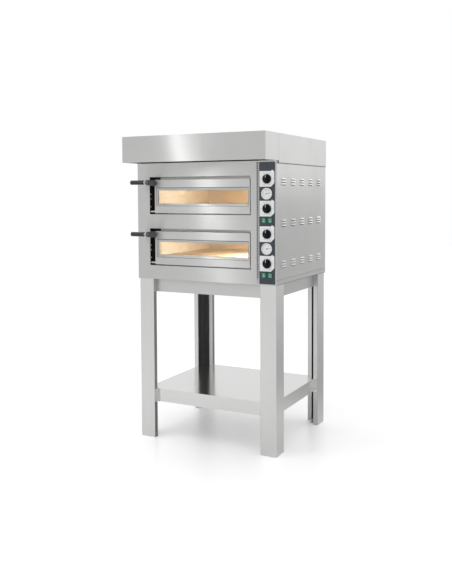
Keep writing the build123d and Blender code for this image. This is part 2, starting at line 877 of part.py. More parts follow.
def hinge_pins(base):
    """Two shouldered pins: they sit in the collar's walls and carry the door."""
    level = base + hinge_height
    with BuildPart() as piece:
        for wall, sheet_edge, side in ((recess_left, door_left, 1), (recess_right, door_right, -1)):
            tail = wall - side * (chamber_sheet + hinge_pin_tail)
            tip = sheet_edge + side * (door_sheet + hinge_pin_reach)
            shoulder = sheet_edge - side * axial_play
            disc(Plane.YZ.offset(tail), (hinge_y, level), hinge_pin_radius, tip - tail)
            disc(Plane.YZ.offset(wall), (hinge_y, level), hinge_shoulder_radius, shoulder - wall)
    return piece.part


def lever(base):
    """The wedge-shaped arm on the door's side that carries the grip in front of the door."""
    top = base + door_gap_below + door_height
    grip_z = top - lever_drop
    root_back = front + lever_root_depth
    with BuildPart() as piece:
        with BuildSketch(Plane.YZ.offset(door_left)):
            with Locations((grip_y, grip_z)):
                Circle(lever_nose_radius)
            with Locations((middle((front, root_back)), top - lever_root_height / 2)):
                Rectangle(lever_root_depth, lever_root_height)
            make_hull()
            with Locations((grip_y, grip_z)):
                Circle(grip_stud_radius + shaft_clearance, mode=Mode.SUBTRACT)
        extrude(amount=-lever_thickness)
        rim = piece.faces().sort_by(Axis.X)[0].outer_wire().edges()
        chamfer(rim, lever_thickness / 5)
    return piece.part


def grip_bolt(base):
    """The stud and hexagon nut that hold the grip on the lever."""
    grip_z = base + door_gap_below + door_height - lever_drop
    lever_face = door_left - lever_thickness
    with BuildPart() as piece:
        stud_length = grip_right - grip_stud_depth - door_left
        disc(Plane.YZ.offset(door_left), (grip_y, grip_z), grip_stud_radius, stud_length)
        with BuildSketch(Plane.YZ.offset(lever_face)):
            with Locations((grip_y, grip_z)):
                RegularPolygon(grip_nut_flats / 2, 6, major_radius=False)
        extrude(amount=-grip_nut_height)
        disc(
            Plane.YZ.offset(lever_face - grip_nut_height),
            (grip_y, grip_z),
            grip_nut_flats / 2 - 1,
            grip_right - lever_face + grip_nut_height,
        )
    return piece.part


def grip(base):
    """The round plastic grip, with a rounded outer end."""
    grip_z = base + door_gap_below + door_height - lever_drop
    with BuildPart() as piece:
        disc(Plane.YZ.offset(grip_right), (grip_y, grip_z), grip_radius, -grip_length)
        fillet(piece.edges().sort_by(Axis.X)[0], grip_radius / 3)
        fillet(piece.edges().sort_by(Axis.X)[-1], grip_radius / 6)
        disc(
            Plane.YZ.offset(grip_right),
            (grip_y, grip_z),
            grip_stud_radius + shaft_clearance,
            -grip_stud_depth - seat_gap,
            Mode.SUBTRACT,
        )
    return piece.part


deck_pieces = {
    "chamber": chamber,
    "heaters": elements,
    "hearth_stone": hearth,
    "lamp": lamp,
    "door_frame": door_frame,
    "door_glass": door_glass,
    "door_liner": door_liner,
    "hinge_pins": hinge_pins,
    "lever": lever,
    "grip_bolt": grip_bolt,
    "grip": grip,
}
for deck, base in zip(deck_names, deck_bases):
    for name, build in deck_pieces.items():
        save(build(base), f"{name}_{deck}")

with BuildPart() as insulation:
    wool_y = (face_y + chamber_sheet + wool_gap, rear - wool_rear_gap)
    slab(
        (-side_inner + casing_flange, chamber_right + chamber_sheet + wool_right),
        wool_y,
        (stand_height + casing_sheet + wool_gap, body_top - casing_sheet - wool_gap),
    )
    for base in deck_bases:
        box_low = base + floor_height - stone_thickness - ledge_height
        grow = chamber_sheet + wool_gap
        slab(
            (chamber_left - grow, chamber_right + grow),
            (wool_y[0], chamber_back + grow),
            (box_low - grow, base + floor_height + chamber_height + grow),
            Mode.SUBTRACT,
        )
        with BuildSketch(Plane.YZ.offset(chamber_right)):
            with Locations((face_y + lamp_from_face, base + floor_height + lamp_height)):
                Circle(lamp_radius + lamp_flange + wool_gap)
        extrude(amount=2 * lamp_holder_length, mode=Mode.SUBTRACT)
        with BuildSketch(Plane.XZ.offset(-chamber_back)):
            with Locations(*element_ends(base)):
                Circle(element_radius + wool_gap)
        extrude(amount=-rear_bay_depth, mode=Mode.SUBTRACT)
save(insulation.part, "insulation")

# ---------------------------------------------------------------- controls
with BuildPart() as control_fascia:
    with BuildSketch(Plane.XZ.offset(-front)):
        fascia_low = stand_height + fascia_margin_bottom
        fascia_high = body_top - fascia_margin_top
        with Locations((fascia_middle, (fascia_low + fascia_high) / 2)):
            Rectangle(fascia_width, fascia_high - fascia_low)
        with Locations(*[(fascia_middle, z) for z in knob_heights]):
            Circle(bush_radius + panel_hole_play, mode=Mode.SUBTRACT)
        with Locations(*[(fascia_middle, z) for z in thermometer_heights]):
            Circle(thermometer_body_radius + panel_hole_play, mode=Mode.SUBTRACT)
        for z in switch_heights:
            with Locations((fascia_middle, z)):
                with GridLocations(switch_spacing, 0, 2, 1):
                    Rectangle(
                        switch_body_width + panel_hole_play,
                        switch_body_height + panel_hole_play,
                        mode=Mode.SUBTRACT,
                    )
    extrude(amount=fascia_thickness)
save(control_fascia.part, "control_fascia")


def knob(z):
    """A skirted knob with a finger bar and its spindle; the bar points up."""
    back = fascia_front - knob_gap
    plane = Plane.XZ.offset(-back)
    with BuildPart() as piece:
        disc(plane, (fascia_middle, z), knob_radius, knob_skirt)
        chamfer(piece.edges().group_by(Axis.Y)[0], knob_skirt / 3)
        with BuildSketch(plane):
            with Locations((fascia_middle, z)):
                Circle(knob_hub_radius)
        extrude(amount=knob_hub_height, taper=knob_taper)
        with BuildSketch(plane):
            with Locations((fascia_middle, z)):
                SlotOverall(knob_bar_length, knob_bar_width, rotation=90)
        extrude(amount=knob_bar_height)
        chamfer(piece.faces().sort_by(Axis.Y)[0].edges(), knob_bar_width / 8)
        disc(plane, (fascia_middle, z), spindle_radius, -spindle_length)
    return piece.part


bush_length = fascia_thickness + casing_sheet + 2 * bush_stand
with BuildPart() as heat_regulators:
    for z in knob_heights:
        disc(Plane.XZ.offset(-fascia_front + bush_stand), (fascia_middle, z), bush_radius, -bush_length)
        slab(
            (fascia_middle - regulator_size / 2, fascia_middle + regulator_size / 2),
            (panel_back, panel_back + regulator_depth),
            (z - regulator_size / 2, z + regulator_size / 2),
        )
        disc(
            Plane.XZ.offset(-fascia_front + 2 * bush_stand),
            (fascia_middle, z),
            spindle_radius + shaft_clearance,
            -spindle_length - 2 * bush_stand,
            Mode.SUBTRACT,
        )
save(heat_regulators.part, "heat_regulators")

knob_names = [f"{deck}_{place}" for deck in deck_names for place in ("floor", "ceiling")]
for name, z in zip(knob_names, knob_heights):
    save(knob(z), f"knob_{name}")

bezel_front = fascia_front - switch_bezel_thickness
pivot_y = bezel_front + rocker_pivot_depth
rocker_radius = rocker_length / 2 - rocker_play


def switch_housing(z):
    """Two snap-in switch housings side by side, each with a rocker well and two pivot sockets."""
    well_depth = rocker_pivot_depth + rocker_radius
    xs = [fascia_middle + side * switch_spacing / 2 for side in (-1, 1)]
    with BuildPart() as piece:
        for x in xs:
            with BuildSketch(Plane.XZ.offset(-fascia_front)):
                with Locations((x, z)):
                    RectangleRounded(switch_bezel_width, switch_bezel_height, switch_bezel_thickness)
            extrude(amount=switch_bezel_thickness)
            chamfer(
                piece.faces().filter_by(Axis.Y).group_by(Axis.Y)[0].edges().filter_by(
                    lambda edge: abs(edge.center().X - x) <= switch_bezel_width / 2
                ),
                switch_bezel_thickness / 4,
            )
            slab(
                (x - switch_body_width / 2, x + switch_body_width / 2),
                (fascia_front, fascia_front + switch_body_depth),
                (z - switch_body_height / 2, z + switch_body_height / 2),
            )
            well = rocker_width / 2 + rocker_play
            slab(
                (x - well, x + well),
                (bezel_front, bezel_front + well_depth),
                (z - rocker_length / 2, z + rocker_length / 2),
                Mode.SUBTRACT,
            )
            disc(
                Plane.YZ.offset(x - well - rocker_pin_length),
                (pivot_y, z),
                rocker_pin_radius + shaft_clearance,
                2 * (well + rocker_pin_length),
                Mode.SUBTRACT,
            )
    return piece.part


def rocker(x, z):
    """A rocker with a hollowed face, tilted on its two pivot pins."""
    reach = rocker_pivot_depth + rocker_crest
    half = rocker_width / 2
    with BuildPart() as piece:
        forwards = Vector(0, -1, 0).rotate(Axis.X, rocker_tilt)
        with BuildSketch(Plane((x - half, pivot_y, z), x_dir=forwards, z_dir=(1, 0, 0))):
            Circle(rocker_radius)
            with BuildLine():
                Polyline(
                    (-rocker_radius / 2, -rocker_length),
                    (reach, -rocker_length),
                    (reach - rocker_hollow, 0),
                    (reach, rocker_length),
                    (-rocker_radius / 2, rocker_length),
                    close=True,
                )
            make_face(mode=Mode.INTERSECT)
        extrude(amount=rocker_width)
        pin = rocker_pin_length + rocker_play - axial_play / 2
        disc(Plane.YZ.offset(x - half - pin), (pivot_y, z), rocker_pin_radius, rocker_width + 2 * pin)
    return piece.part


for deck, z in zip(deck_names, switch_heights):
    save(switch_housing(z), f"switch_housing_{deck}")
    for place, side in (("left", -1), ("right", 1)):
        save(rocker(fascia_middle + side * switch_spacing / 2, z), f"rocker_{deck}_{place}")

case_front = fascia_front - thermometer_stand
glass_seat = case_front + thermometer_glass_depth
dial_face = glass_seat + thermometer_glass + 2 * needle_lift + needle_thickness


def thermometer_case(z):
    """A round case with a rim, a dial floor, a pivot hole and a body behind the panel."""
    inner = thermometer_radius - thermometer_rim
    with BuildPart() as piece:
        disc(Plane.XZ.offset(-fascia_front), (fascia_middle, z), thermometer_radius, thermometer_stand)
        chamfer(piece.edges().group_by(Axis.Y)[0], thermometer_edge)
        body = -thermometer_body_depth
        disc(Plane.XZ.offset(-fascia_front), (fascia_middle, z), thermometer_body_radius, body)
        mouth = inner - thermometer_edge
        disc(Plane.XZ.offset(-case_front), (fascia_middle, z), mouth, -thermometer_stand / 4, Mode.SUBTRACT)
        disc(Plane.XZ.offset(-glass_seat), (fascia_middle, z), inner, glass_seat - dial_face, Mode.SUBTRACT)
        disc(
            Plane.XZ.offset(-dial_face),
            (fascia_middle, z),
            needle_pin_radius + shaft_clearance,
            -4 * thermometer_wall,
            Mode.SUBTRACT,
        )
    return piece.part


def thermometer_glass_disc(z):
    inner = thermometer_radius - thermometer_rim
    with BuildPart() as piece:
        disc(Plane.XZ.offset(-glass_seat), (fascia_middle, z), inner - seat_gap, -thermometer_glass)
    return piece.part


def needle(z):
    """The thermometer's needle, with its hub and pivot pin."""
    back = dial_face - needle_lift
    with BuildPart() as piece:
        with BuildSketch(Plane.XZ.offset(-back)):
            with Locations(Location((fascia_middle, z), -needle_angle)):
                with Locations((0, (needle_length - needle_tail) / 2)):
                    Trapezoid(needle_width, needle_length + needle_tail, needle_flank)
            with Locations((fascia_middle, z)):
                Circle(needle_hub_radius)
        extrude(amount=needle_thickness)
        pin = -needle_lift - 3 * thermometer_wall
        disc(Plane.XZ.offset(-back), (fascia_middle, z), needle_pin_radius, pin)
    return piece.part


for deck, z in zip(deck_names, thermometer_heights):
    save(thermometer_case(z), f"thermometer_case_{deck}")
    save(thermometer_glass_disc(z), f"thermometer_glass_{deck}")
    save(needle(z), f"needle_{deck}")
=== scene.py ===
from math import cos, pi, radians, sin

import bmesh
import bpy
from bpy.props import FloatProperty, FloatVectorProperty, IntProperty, PointerProperty
from mathutils import Matrix, Vector


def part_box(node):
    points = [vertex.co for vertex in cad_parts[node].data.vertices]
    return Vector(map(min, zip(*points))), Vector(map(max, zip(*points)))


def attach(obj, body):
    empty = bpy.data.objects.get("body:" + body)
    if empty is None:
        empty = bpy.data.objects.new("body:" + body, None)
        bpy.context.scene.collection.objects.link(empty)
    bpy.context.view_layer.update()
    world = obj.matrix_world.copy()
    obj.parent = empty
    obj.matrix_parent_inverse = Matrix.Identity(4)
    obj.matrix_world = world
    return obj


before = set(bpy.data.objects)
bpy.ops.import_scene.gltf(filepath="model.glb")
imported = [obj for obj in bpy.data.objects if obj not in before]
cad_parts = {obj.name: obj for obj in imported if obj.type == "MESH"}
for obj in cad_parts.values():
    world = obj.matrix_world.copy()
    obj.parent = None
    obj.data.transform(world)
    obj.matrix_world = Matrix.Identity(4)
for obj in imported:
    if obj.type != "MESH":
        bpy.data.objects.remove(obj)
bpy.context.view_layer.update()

bl_info = {
    "name": "Deck Oven Finish",
    "version": (1, 0, 0),
    "blender": (4, 5, 0),
    "location": "3D Viewport > Sidebar > Oven",
    "description": "Finishes a twin-deck pizza oven with its hood, stand, doors and controls",
    "category": "Object",
}

DECKS = ("lower", "upper")
FIXED = "oven"  # the body of all that doesn't move
MM = 0.001
CRISP = 0.2 * MM  # half the width of a mask's edge where it follows a sheet's edge
SOFT = 1 * MM  # the same where it crosses a plain face


# ---- shader maths
class Signal:
    """A node's output that takes part in Python maths. Each step adds a Math node."""

    def __init__(self, tree, socket):
        self.tree = tree
        self.socket = socket

    def maths(self, operation, *others):
        return self.tree.node("ShaderNodeMath", {"operation": operation}, dict(enumerate((self, *others))))

    def __add__(self, other):
        return self.maths("ADD", other)

    __radd__ = __add__

    def __mul__(self, other):
        return self.maths("MULTIPLY", other)

    def __sub__(self, other):
        return self.maths("SUBTRACT", other)

    def __rsub__(self, other):
        return (self * -1) + other

    def __pow__(self, other):
        return self.maths("POWER", other)

    def __abs__(self):
        return self.maths("ABSOLUTE")

    def above(self, edge, softness):
        """0 below the edge, 1 above it, with a step as wide as softness on each side."""
        settings = {"interpolation_type": "SMOOTHSTEP"}
        ends = {"Value": self, "From Min": edge - softness, "From Max": edge + softness}
        return self.tree.node("ShaderNodeMapRange", settings, ends)

    def below(self, edge, softness):
        return 1 - self.above(edge, softness)

    def larger(self, other):
        return self.maths("MAXIMUM", other)

    def smaller(self, other):
        return self.maths("MINIMUM", other)


class Tree:
    """A material's or world's node tree, emptied, with one way to add a node."""

    def __init__(self, owner):
        self.owner = owner
        owner.use_nodes = True
        self.nodes = owner.node_tree.nodes
        self.links = owner.node_tree.links
        self.nodes.clear()

    def node(self, kind, settings=None, inputs=None, output=0):
        new = self.nodes.new(kind)
        for name, value in (settings or {}).items():
            if name == "stops":
                self.fill_ramp(new.color_ramp, value)
            else:
                setattr(new, name, value)
        for key, value in (inputs or {}).items():
            if isinstance(value, Signal):
                self.links.new(value.socket, new.inputs[key])
            else:
                new.inputs[key].default_value = value
        return new if output is None else Signal(self, new.outputs[output])

    @staticmethod
    def fill_ramp(ramp, stops):
        """Give a ramp its greys, each a place and a brightness."""
        while len(ramp.elements) < len(stops):
            ramp.elements.new(0.5)
        for element, (place, grey) in zip(ramp.elements, stops):
            element.position = place
            element.color = (grey, grey, grey, 1)

    def place(self):
        return self.node("ShaderNodeTexCoord", output="Object")

    def ray(self, kind):
        return self.node("ShaderNodeLightPath", output=kind)

    def split(self, vector):
        return [self.node("ShaderNodeSeparateXYZ", None, {0: vector}, output=i) for i in range(3)]

    def scaled(self, vector, factors):
        return self.node("ShaderNodeVectorMath", {"operation": "MULTIPLY"}, {0: vector, 1: factors})

    def noise(self, vector, scale, detail=2.0, roughness=0.5, distortion=0.0):
        """Noise from 0 to 1. The scale is in patches per metre."""
        inputs = {"Vector": vector, "Scale": scale, "Detail": detail}
        inputs.update({"Roughness": roughness, "Distortion": distortion})
        return self.node("ShaderNodeTexNoise", None, inputs)

    def blend(self, factor, first, second):
        """Mix two colours, each a colour or a signal."""
        inputs = {0: factor, 6: rgba(first), 7: rgba(second)}
        return self.node("ShaderNodeMix", {"data_type": "RGBA"}, inputs, output=2)

    def tones(self, factor, colour, first, second):
        """Mix two shades of one colour."""
        return self.blend(factor, Vector(colour) * first, Vector(colour) * second)

    def bump(self, height, strength, distance):
        inputs = {"Strength": strength, "Distance": distance, "Height": height}
        return self.node("ShaderNodeBump", None, inputs)

    def surface(self, **inputs):
        """End the tree in a Principled surface. Keys are the sockets' names with _ for a space."""
        sockets = {name.replace("_", " "): rgba(value) for name, value in inputs.items()}
        shader = self.node("ShaderNodeBsdfPrincipled", None, sockets)
        self.node("ShaderNodeOutputMaterial", None, {"Surface": shader}, output=None)
        return self.owner


def rgba(value):
    """A colour of three numbers gets its fourth; anything else stays."""
    if hasattr(value, "__len__") and len(value) == 3:
        return (*value, 1.0)
    return value


def new_material(name):
    """A new material's tree, and the place of each point on it."""
    tree = Tree(bpy.data.materials.new(name))
    return tree, tree.place()


# ---- sheet steel
GRAIN_STRETCH = 0.012  # scale of the noise along a brush line, against 1 across it
COARSE_LINES = 9  # fine brush lines to each coarse one
LEVEL_GRAIN = 0.25  # turn of the gleam on level brush lines; upright ones need none


def horizontal_grain(tree, place, fine, coarse):
    """Brush lines that run level round every upright face, as a belt leaves them on sheet."""
    normal = tree.node("ShaderNodeNewGeometry", output="Normal")
    side = abs(tree.split(normal)[0]).above(0.5, 0.05)
    lines = []
    for scale in (fine, coarse):
        on_front = tree.noise(tree.scaled(place, (GRAIN_STRETCH, 1.0, 1.0)), scale, 3.0)
        on_side = tree.noise(tree.scaled(place, (1.0, GRAIN_STRETCH, 1.0)), scale, 3.0)
        lines.append(on_front + (on_side - on_front) * side)
    return lines


def upright_grain(tree, place, fine, coarse):
    """Brush lines that run up and down, as on a folded leg."""
    stretched = tree.scaled(place, (1.0, 1.0, GRAIN_STRETCH))
    return [tree.noise(stretched, scale, 3.0) for scale in (fine, coarse)]


def inner_faces(tree, place, node):
    """1 on the inner faces of a leg's two plates and 0.8 on the edge of its front lip, where shade is
    painted.
    """
    low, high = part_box(node)
    x, y, _ = tree.split(place)
    gap_x = max(abs(low.x), abs(high.x)) - abs(x)
    gap_y = max(abs(low.y), abs(high.y)) - abs(y)
    nearest = gap_x.smaller(gap_y)
    inside = nearest.above(1.5 * MM, CRISP) * nearest.below(3 * MM, CRISP)
    lip_edge_shade = gap_x.above(high.x - low.x - 1.3 * MM, 0.4 * MM)
    return inside.larger(lip_edge_shade * 0.8)


def side_plane():
    """How far a side panel's flat stands from the middle. The left one has no louvres."""
    return -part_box("side_panel_left")[0].x


def louvre_faces(tree, place):
    """1 on the louvres that stand out of the right side, where a painted highlight draws the sheet bright.
    """
    return tree.split(place)[0].above(side_plane() + 0.5 * MM, 0.3 * MM)


def casing_seams(tree, place):
    """1 on the sides where shade is painted: under the hood's rim and along their bottom fold."""
    x, _, z = tree.split(place)
    low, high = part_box("front_panel")[0].z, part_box("hood_shell")[0].z
    seams = z.above(high - 3 * MM, SOFT) + z.below(low + 2.5 * MM, SOFT)
    return seams * abs(x).above(side_plane() - 0.5 * MM, CRISP)


def visor_inside(tree, place):
    """1 on the inner faces of the hood's overhang, painted bright: painted light that the panel below
    reflects.
    """
    low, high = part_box("hood_visor")
    x, y, z = tree.split(place)
    sheet = 1.2 * MM
    inside = y.above(low.y + sheet, CRISP) * y.below(high.y, SOFT) * z.below(high.z - sheet, CRISP)
    return inside * abs(x).below(high.x - sheet, CRISP)


def hood_rim(tree, place):
    """1 on the lowest millimetres of the hood's sides, with painted shade for the shade of their own fold.
    """
    _, y, z = tree.split(place)
    rim = z.below(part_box("hood_shell")[0].z + 2.5 * MM, SOFT)
    return rim * y.above(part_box("hood_visor")[1].y, SOFT)


def brushed_sheet(
    name, settings, grain=horizontal_grain, anisotropy=None, turn=LEVEL_GRAIN, shade=1.0, dull=0.0, marks=()
):
    """Satin stainless sheet: brush lines, slow shifts in tone and the odd wiped smear.

    Each mark is a mask and the shade that the sheet takes on under it: painted highlight, painted light or
    painted shade.
    """
    tree, place = new_material(name)
    fine, coarse = grain(tree, place, settings.grain_lines, settings.grain_lines / COARSE_LINES)
    cloud = tree.noise(place, 2.3, 3.0, 0.55)
    smear = tree.noise(tree.scaled(place, (1.0, 1.0, 0.35)), 9.0, 2.0, 0.4, 0.6).above(0.62, 0.1)
    colour = Vector(settings.colour) * shade
    light = tree.tones(coarse * 0.6 + fine * 0.4, colour, 0.955, 1.045)
    worn = tree.blend(cloud.above(0.5, 0.25) * 0.5, light, colour * 0.97)
    # each mark paints light or shade into the sheet's colour
    for mask, mask_shade in marks:
        worn = tree.blend(mask(tree, place), worn, colour * mask_shade)
    return tree.surface(
        Base_Color=worn,
        Metallic=1.0,
        Roughness=settings.roughness + dull + (fine - 0.5) * 0.05 + (cloud - 0.5) * 0.05 + smear * 0.03,
        Anisotropic=settings.anisotropy if anisotropy is None else anisotropy,
        Anisotropic_Rotation=turn,
        Normal=tree.bump(fine + coarse * 0.5, 0.04, 0.08 * MM),
    )


def bright_zinc(name, colour):
    """Plated fasteners: bright, slightly yellowed, with dull patches."""
    tree, place = new_material(name)
    patch = tree.noise(place, 240.0, 3.0)
    return tree.surface(
        Base_Color=tree.tones(patch, colour, 0.8, 1.08),
        Metallic=1.0,
        Roughness=patch * 0.2 + 0.2,
        Normal=tree.bump(patch, 0.1, 0.1 * MM),
    )


def painted_metal(name, colour, roughness):
    """Powder coat: an even colour with a fine orange-peel skin and a few rubbed spots."""
    tree, place = new_material(name)
    skin = tree.noise(place, 900.0)
    rub = tree.noise(place, 35.0, 4.0).above(0.62, 0.08)
    return tree.surface(
        Base_Color=tree.tones(rub * 0.4, colour, 1, 1.35),
        Roughness=roughness + (skin - 0.5) * 0.1 - rub * 0.06,
        Normal=tree.bump(skin, 0.12, 0.1 * MM),
    )


def moulded_plastic(name, colour, roughness, coat=0.0):
    """Injection-moulded plastic with a spark-eroded grain and scuffs."""
    tree, place = new_material(name)
    pits = tree.noise(place, 2600.0)
    scuff = tree.noise(tree.scaled(place, (1.0, 0.3, 1.0)), 160.0, 4.0).above(0.6, 0.1)
    return tree.surface(
        Base_Color=tree.blend(scuff * 0.5, Vector(colour), Vector(colour) * 1.8 + Vector((0.006,) * 3)),
        Roughness=roughness + (pits - 0.5) * 0.12 + scuff * 0.08,
        Coat_Weight=coat,
        Normal=tree.bump(pits, 0.15, 0.08 * MM),
    )


def liner_sheet(settings):
    """The door's inner pan: pale sheet, dulled by heat and flour."""
    tree, place = new_material("liner_sheet")
    haze = tree.noise(place, 28.0, 5.0, 0.6)
    scratch = tree.noise(tree.scaled(place, (0.02, 1.0, 1.0)), 700.0, 3.0)
    return tree.surface(
        Base_Color=tree.tones(haze, settings.liner_colour, 0.92, 1.04),
        Metallic=0.45,
        Roughness=0.36 + (haze - 0.5) * 0.16 + (scratch - 0.5) * 0.06,
        Normal=tree.bump(scratch, 0.05, 0.1 * MM),
    )


# ---- oven interior
def chamber_sheet(settings):
    """A bare collar, black by the lever, and pale sheet inside that turns brown along the left wall and the
    back, partly as heat tint and partly as painted shade.
    """
    tree, place = new_material("chamber_sheet")
    across, depth, height = tree.split(place)
    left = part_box("door_frame_lower")[0].x
    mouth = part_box("door_liner_lower")[1].y
    inside = depth.above(mouth + 5 * MM, SOFT)
    reach = settings.black_reach
    overlap, band = 4 * MM, 20 * MM
    for deck in DECKS:
        bottom, top = (corner.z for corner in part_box(f"door_frame_{deck}"))
        above_door = height.above(top - overlap, SOFT) * height.below(top + band, SOFT)
        below_door = height.above(bottom - band, SOFT) * height.below(bottom + overlap, SOFT)
        reach = reach + above_door * (-17 * MM) + below_door * (22 * MM)
    by_lever = across.below(reach + left, 0.6 * MM)
    tint = tree.noise(place, 7.0, 4.0, 0.6)
    soot = tree.noise(tree.scaled(place, (1.0, 0.5, 1.6)), 16.0, 5.0).above(0.66, 0.16)
    run = (across - left) + (depth - mouth)  # along the left wall, then the back
    # pale at the mouth's left, brown further along: partly heat tint, partly painted shade
    browned_and_shaded = run.above(settings.brown_from, settings.brown_from) + (tint - 0.5) * 0.2
    wall = tree.blend(browned_and_shaded, settings.wall_colour, settings.wall_tint)
    stained = tree.blend(soot * 0.12, wall, Vector(settings.wall_tint) * 0.6)
    # black beside the lever, lighter in patches
    black_collar = tree.tones(soot, settings.mouth_colour, 1, 2.2)
    collar = tree.blend(by_lever, settings.collar_colour, black_collar)
    return tree.surface(
        Base_Color=tree.blend(inside, collar, stained),
        Metallic=(1 - inside) * (1 - by_lever) * 0.5,
        Roughness=inside * 0.2 + 0.38 + (tint - 0.5) * 0.15,
        Normal=tree.bump(tree.noise(place, 500.0), 0.08, 0.2 * MM),
    )


def refractory(settings):
    """A fired slab: sandy, speckled, with flour and scorch marks."""
    tree, place = new_material("refractory_slab")
    speckle = tree.noise(place, 900.0, 3.0)
    flour = tree.noise(place, 18.0, 5.0, 0.65).above(0.56, 0.12)
    scorch = tree.noise(place, 9.0, 4.0, 0.6, 0.4).above(0.6, 0.12)
    stone = Vector(settings.stone_colour)
    sand = tree.tones(speckle, stone, 0.9, 1.08)
    floured = tree.blend(flour * 0.5, sand, (0.86, 0.82, 0.74))
    return tree.surface(
        Base_Color=tree.blend(scorch * 0.35, floured, stone * 0.35),
        Roughness=0.8 + (speckle - 0.5) * 0.2,
        Normal=tree.bump(speckle, 0.3, 0.6 * MM),
    )


def oxidised_tube():
    """Element sheath: grey-brown oxide with rust-coloured bands where it runs hottest."""
    tree, place = new_material("oxidised_tube")
    band = tree.noise(place, 22.0, 3.0)
    return tree.surface(
        Base_Color=tree.blend(band, (0.07, 0.06, 0.055), (0.2, 0.12, 0.08)),
        Metallic=0.6,
        Roughness=0.45 + (band - 0.5) * 0.2,
        Normal=tree.bump(tree.noise(place, 1200.0), 0.2, 0.2 * MM),
    )


def lamp_glass(settings):
    """Frosted lamp dome, glowing inside the chamber; its holder behind stays dark."""
    tree, place = new_material("lamp_glass")
    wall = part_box("lamp_lower")[0].x + 14 * MM
    dome = tree.split(place)[0].below(wall, SOFT)
    frost = tree.noise(place, 700.0)
    return tree.surface(
        Base_Color=tree.blend(dome, (0.12, 0.11, 0.1), (0.95, 0.9, 0.8)),
        Roughness=0.35 + frost * 0.2,
        Emission_Color=tree.blend(dome, (0.0, 0.0, 0.0), settings.lamp_colour),
        Emission_Strength=settings.lamp_glow,
    )


def mineral_wool():
    """Pressed wool fibres."""
    tree, place = new_material("mineral_wool")
    fibre = tree.noise(tree.scaled(place, (1.0, 1.0, 4.0)), 260.0, 5.0, 0.7, 1.2)
    return tree.surface(
        Base_Color=tree.blend(fibre, (0.5, 0.44, 0.24), (0.86, 0.8, 0.58)),
        Roughness=0.95,
        Normal=tree.bump(fibre, 0.8, 2 * MM),
    )


def pane(name, tint, clearness, haze):
    """Clear glass, seen mostly by its reflections and a little grime."""
    tree, place = new_material(name)
    grime = tree.noise(tree.scaled(place, (1.0, 1.0, 2.0)), 24.0, 5.0, 0.6).above(0.6, 0.16)
    return tree.surface(
        Base_Color=tint,
        Roughness=0.04 + grime * 0.12,
        Alpha=(1 - clearness) + grime * haze,
        IOR=1.5,
    )


# ---- controls
def slate_print(settings):
    """The control column's dark print: slate ink with a faint satin mottle."""
    tree, place = new_material("slate_print")
    mottle = tree.noise(place, 55.0, 4.0)
    grain = tree.noise(place, 1500.0)
    return tree.surface(
        Base_Color=tree.tones(mottle, settings.column_colour, 0.85, 1.2),
        Roughness=0.34 + (grain - 0.5) * 0.12,
        Normal=tree.bump(grain, 0.08, 0.1 * MM),
    )


def pale_print(name, colour, roughness=0.4):
    """Light print on the knob plates and dials."""
    tree, place = new_material(name)
    mottle = tree.noise(place, 120.0, 3.0)
    return tree.surface(
        Base_Color=tree.tones(mottle, colour, 0.96, 1.02),
        Roughness=roughness + (mottle - 0.5) * 0.1,
    )


def knob_plastic(settings, centre):
    """Black knob with a white index line down the upper half of its bar."""
    tree, place = new_material("knob_plastic")
    x, y, z = tree.split(place)
    half_width, start, face = 0.9 * MM, 6 * MM, 6 * MM  # start and face are from the knob's centre
    upper_half = z.above(centre.z + start, 0.3 * MM)
    line = abs(x - centre.x).below(half_width, CRISP) * upper_half * y.below(centre.y - face, CRISP)
    pits = tree.noise(place, 2200.0)
    return tree.surface(
        Base_Color=tree.blend(line, settings.knob_colour, (0.85, 0.85, 0.83)),
        Roughness=0.5 + (pits - 0.5) * 0.1 + line * 0.15,
        Specular_IOR_Level=0.15,
        Normal=tree.bump(pits, 0.08, 0.08 * MM),
    )


def rocker_plastic(settings, centre):
    """Green lit rocker with a bar above and a ring below, for on and off."""
    tree, place = new_material("rocker_plastic")
    x, y, z = tree.split(place)
    across, up = x - centre.x, z - centre.z
    offset, edge = 5.5 * MM, 0.15 * MM  # to each mark's middle; softness of its edge
    bar = abs(across).below(0.5 * MM, edge) * abs(up - offset).below(1.8 * MM, edge)
    reach = (across**2 + (up + offset) ** 2) ** 0.5
    ring = abs(reach - 1.7 * MM).below(0.4 * MM, edge)
    mark = bar.larger(ring) * y.below(centre.y, 0.5 * MM)
    depth = tree.noise(place, 90.0)
    green = settings.rocker_colour
    body = tree.tones(depth, green, 0.8, 1.15)
    return tree.surface(
        Base_Color=tree.blend(mark, body, (0.9, 0.92, 0.9)),
        Roughness=0.2 + depth * 0.06,
        Coat_Weight=0.4,
        Emission_Color=tree.blend(mark, green, (0.5, 0.55, 0.5)),
        Emission_Strength=settings.rocker_glow,
    )


# ---- mesh pieces
INK = 0.03 * MM  # half the thickness of a printed figure
TICK_THICKNESS = 0.05 * MM
HOLE_TURNS = 40  # sides of the round hole in a plate or dial
RIM_TURNS = 64  # sides of a dial's rim


def new_object(name, data):
    """A new object in the scene."""
    new = bpy.data.objects.new(name, data)
    bpy.context.scene.collection.objects.link(new)
    return new


def add_piece(name, mesh, material, body):
    """Make a mesh a piece that rides on a body."""
    mesh.materials.append(material)
    piece = new_object(name, mesh)
    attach(piece, body)


def finished(name, shape, smooth=False):
    """Turn bmesh geometry into a mesh with outward faces."""
    bmesh.ops.remove_doubles(shape, verts=shape.verts, dist=1e-7)
    bmesh.ops.recalc_face_normals(shape, faces=shape.faces)
    for face in shape.faces:
        face.smooth = smooth
    mesh = bpy.data.meshes.new(name)
    shape.to_mesh(mesh)
    shape.free()
    return mesh


def circle(centre, radius, turns):
    """A circle's outline."""
    x, z = centre
    angles = [2 * pi * i / turns for i in range(turns)]
    return [(x + radius * cos(angle), z + radius * sin(angle)) for angle in angles]


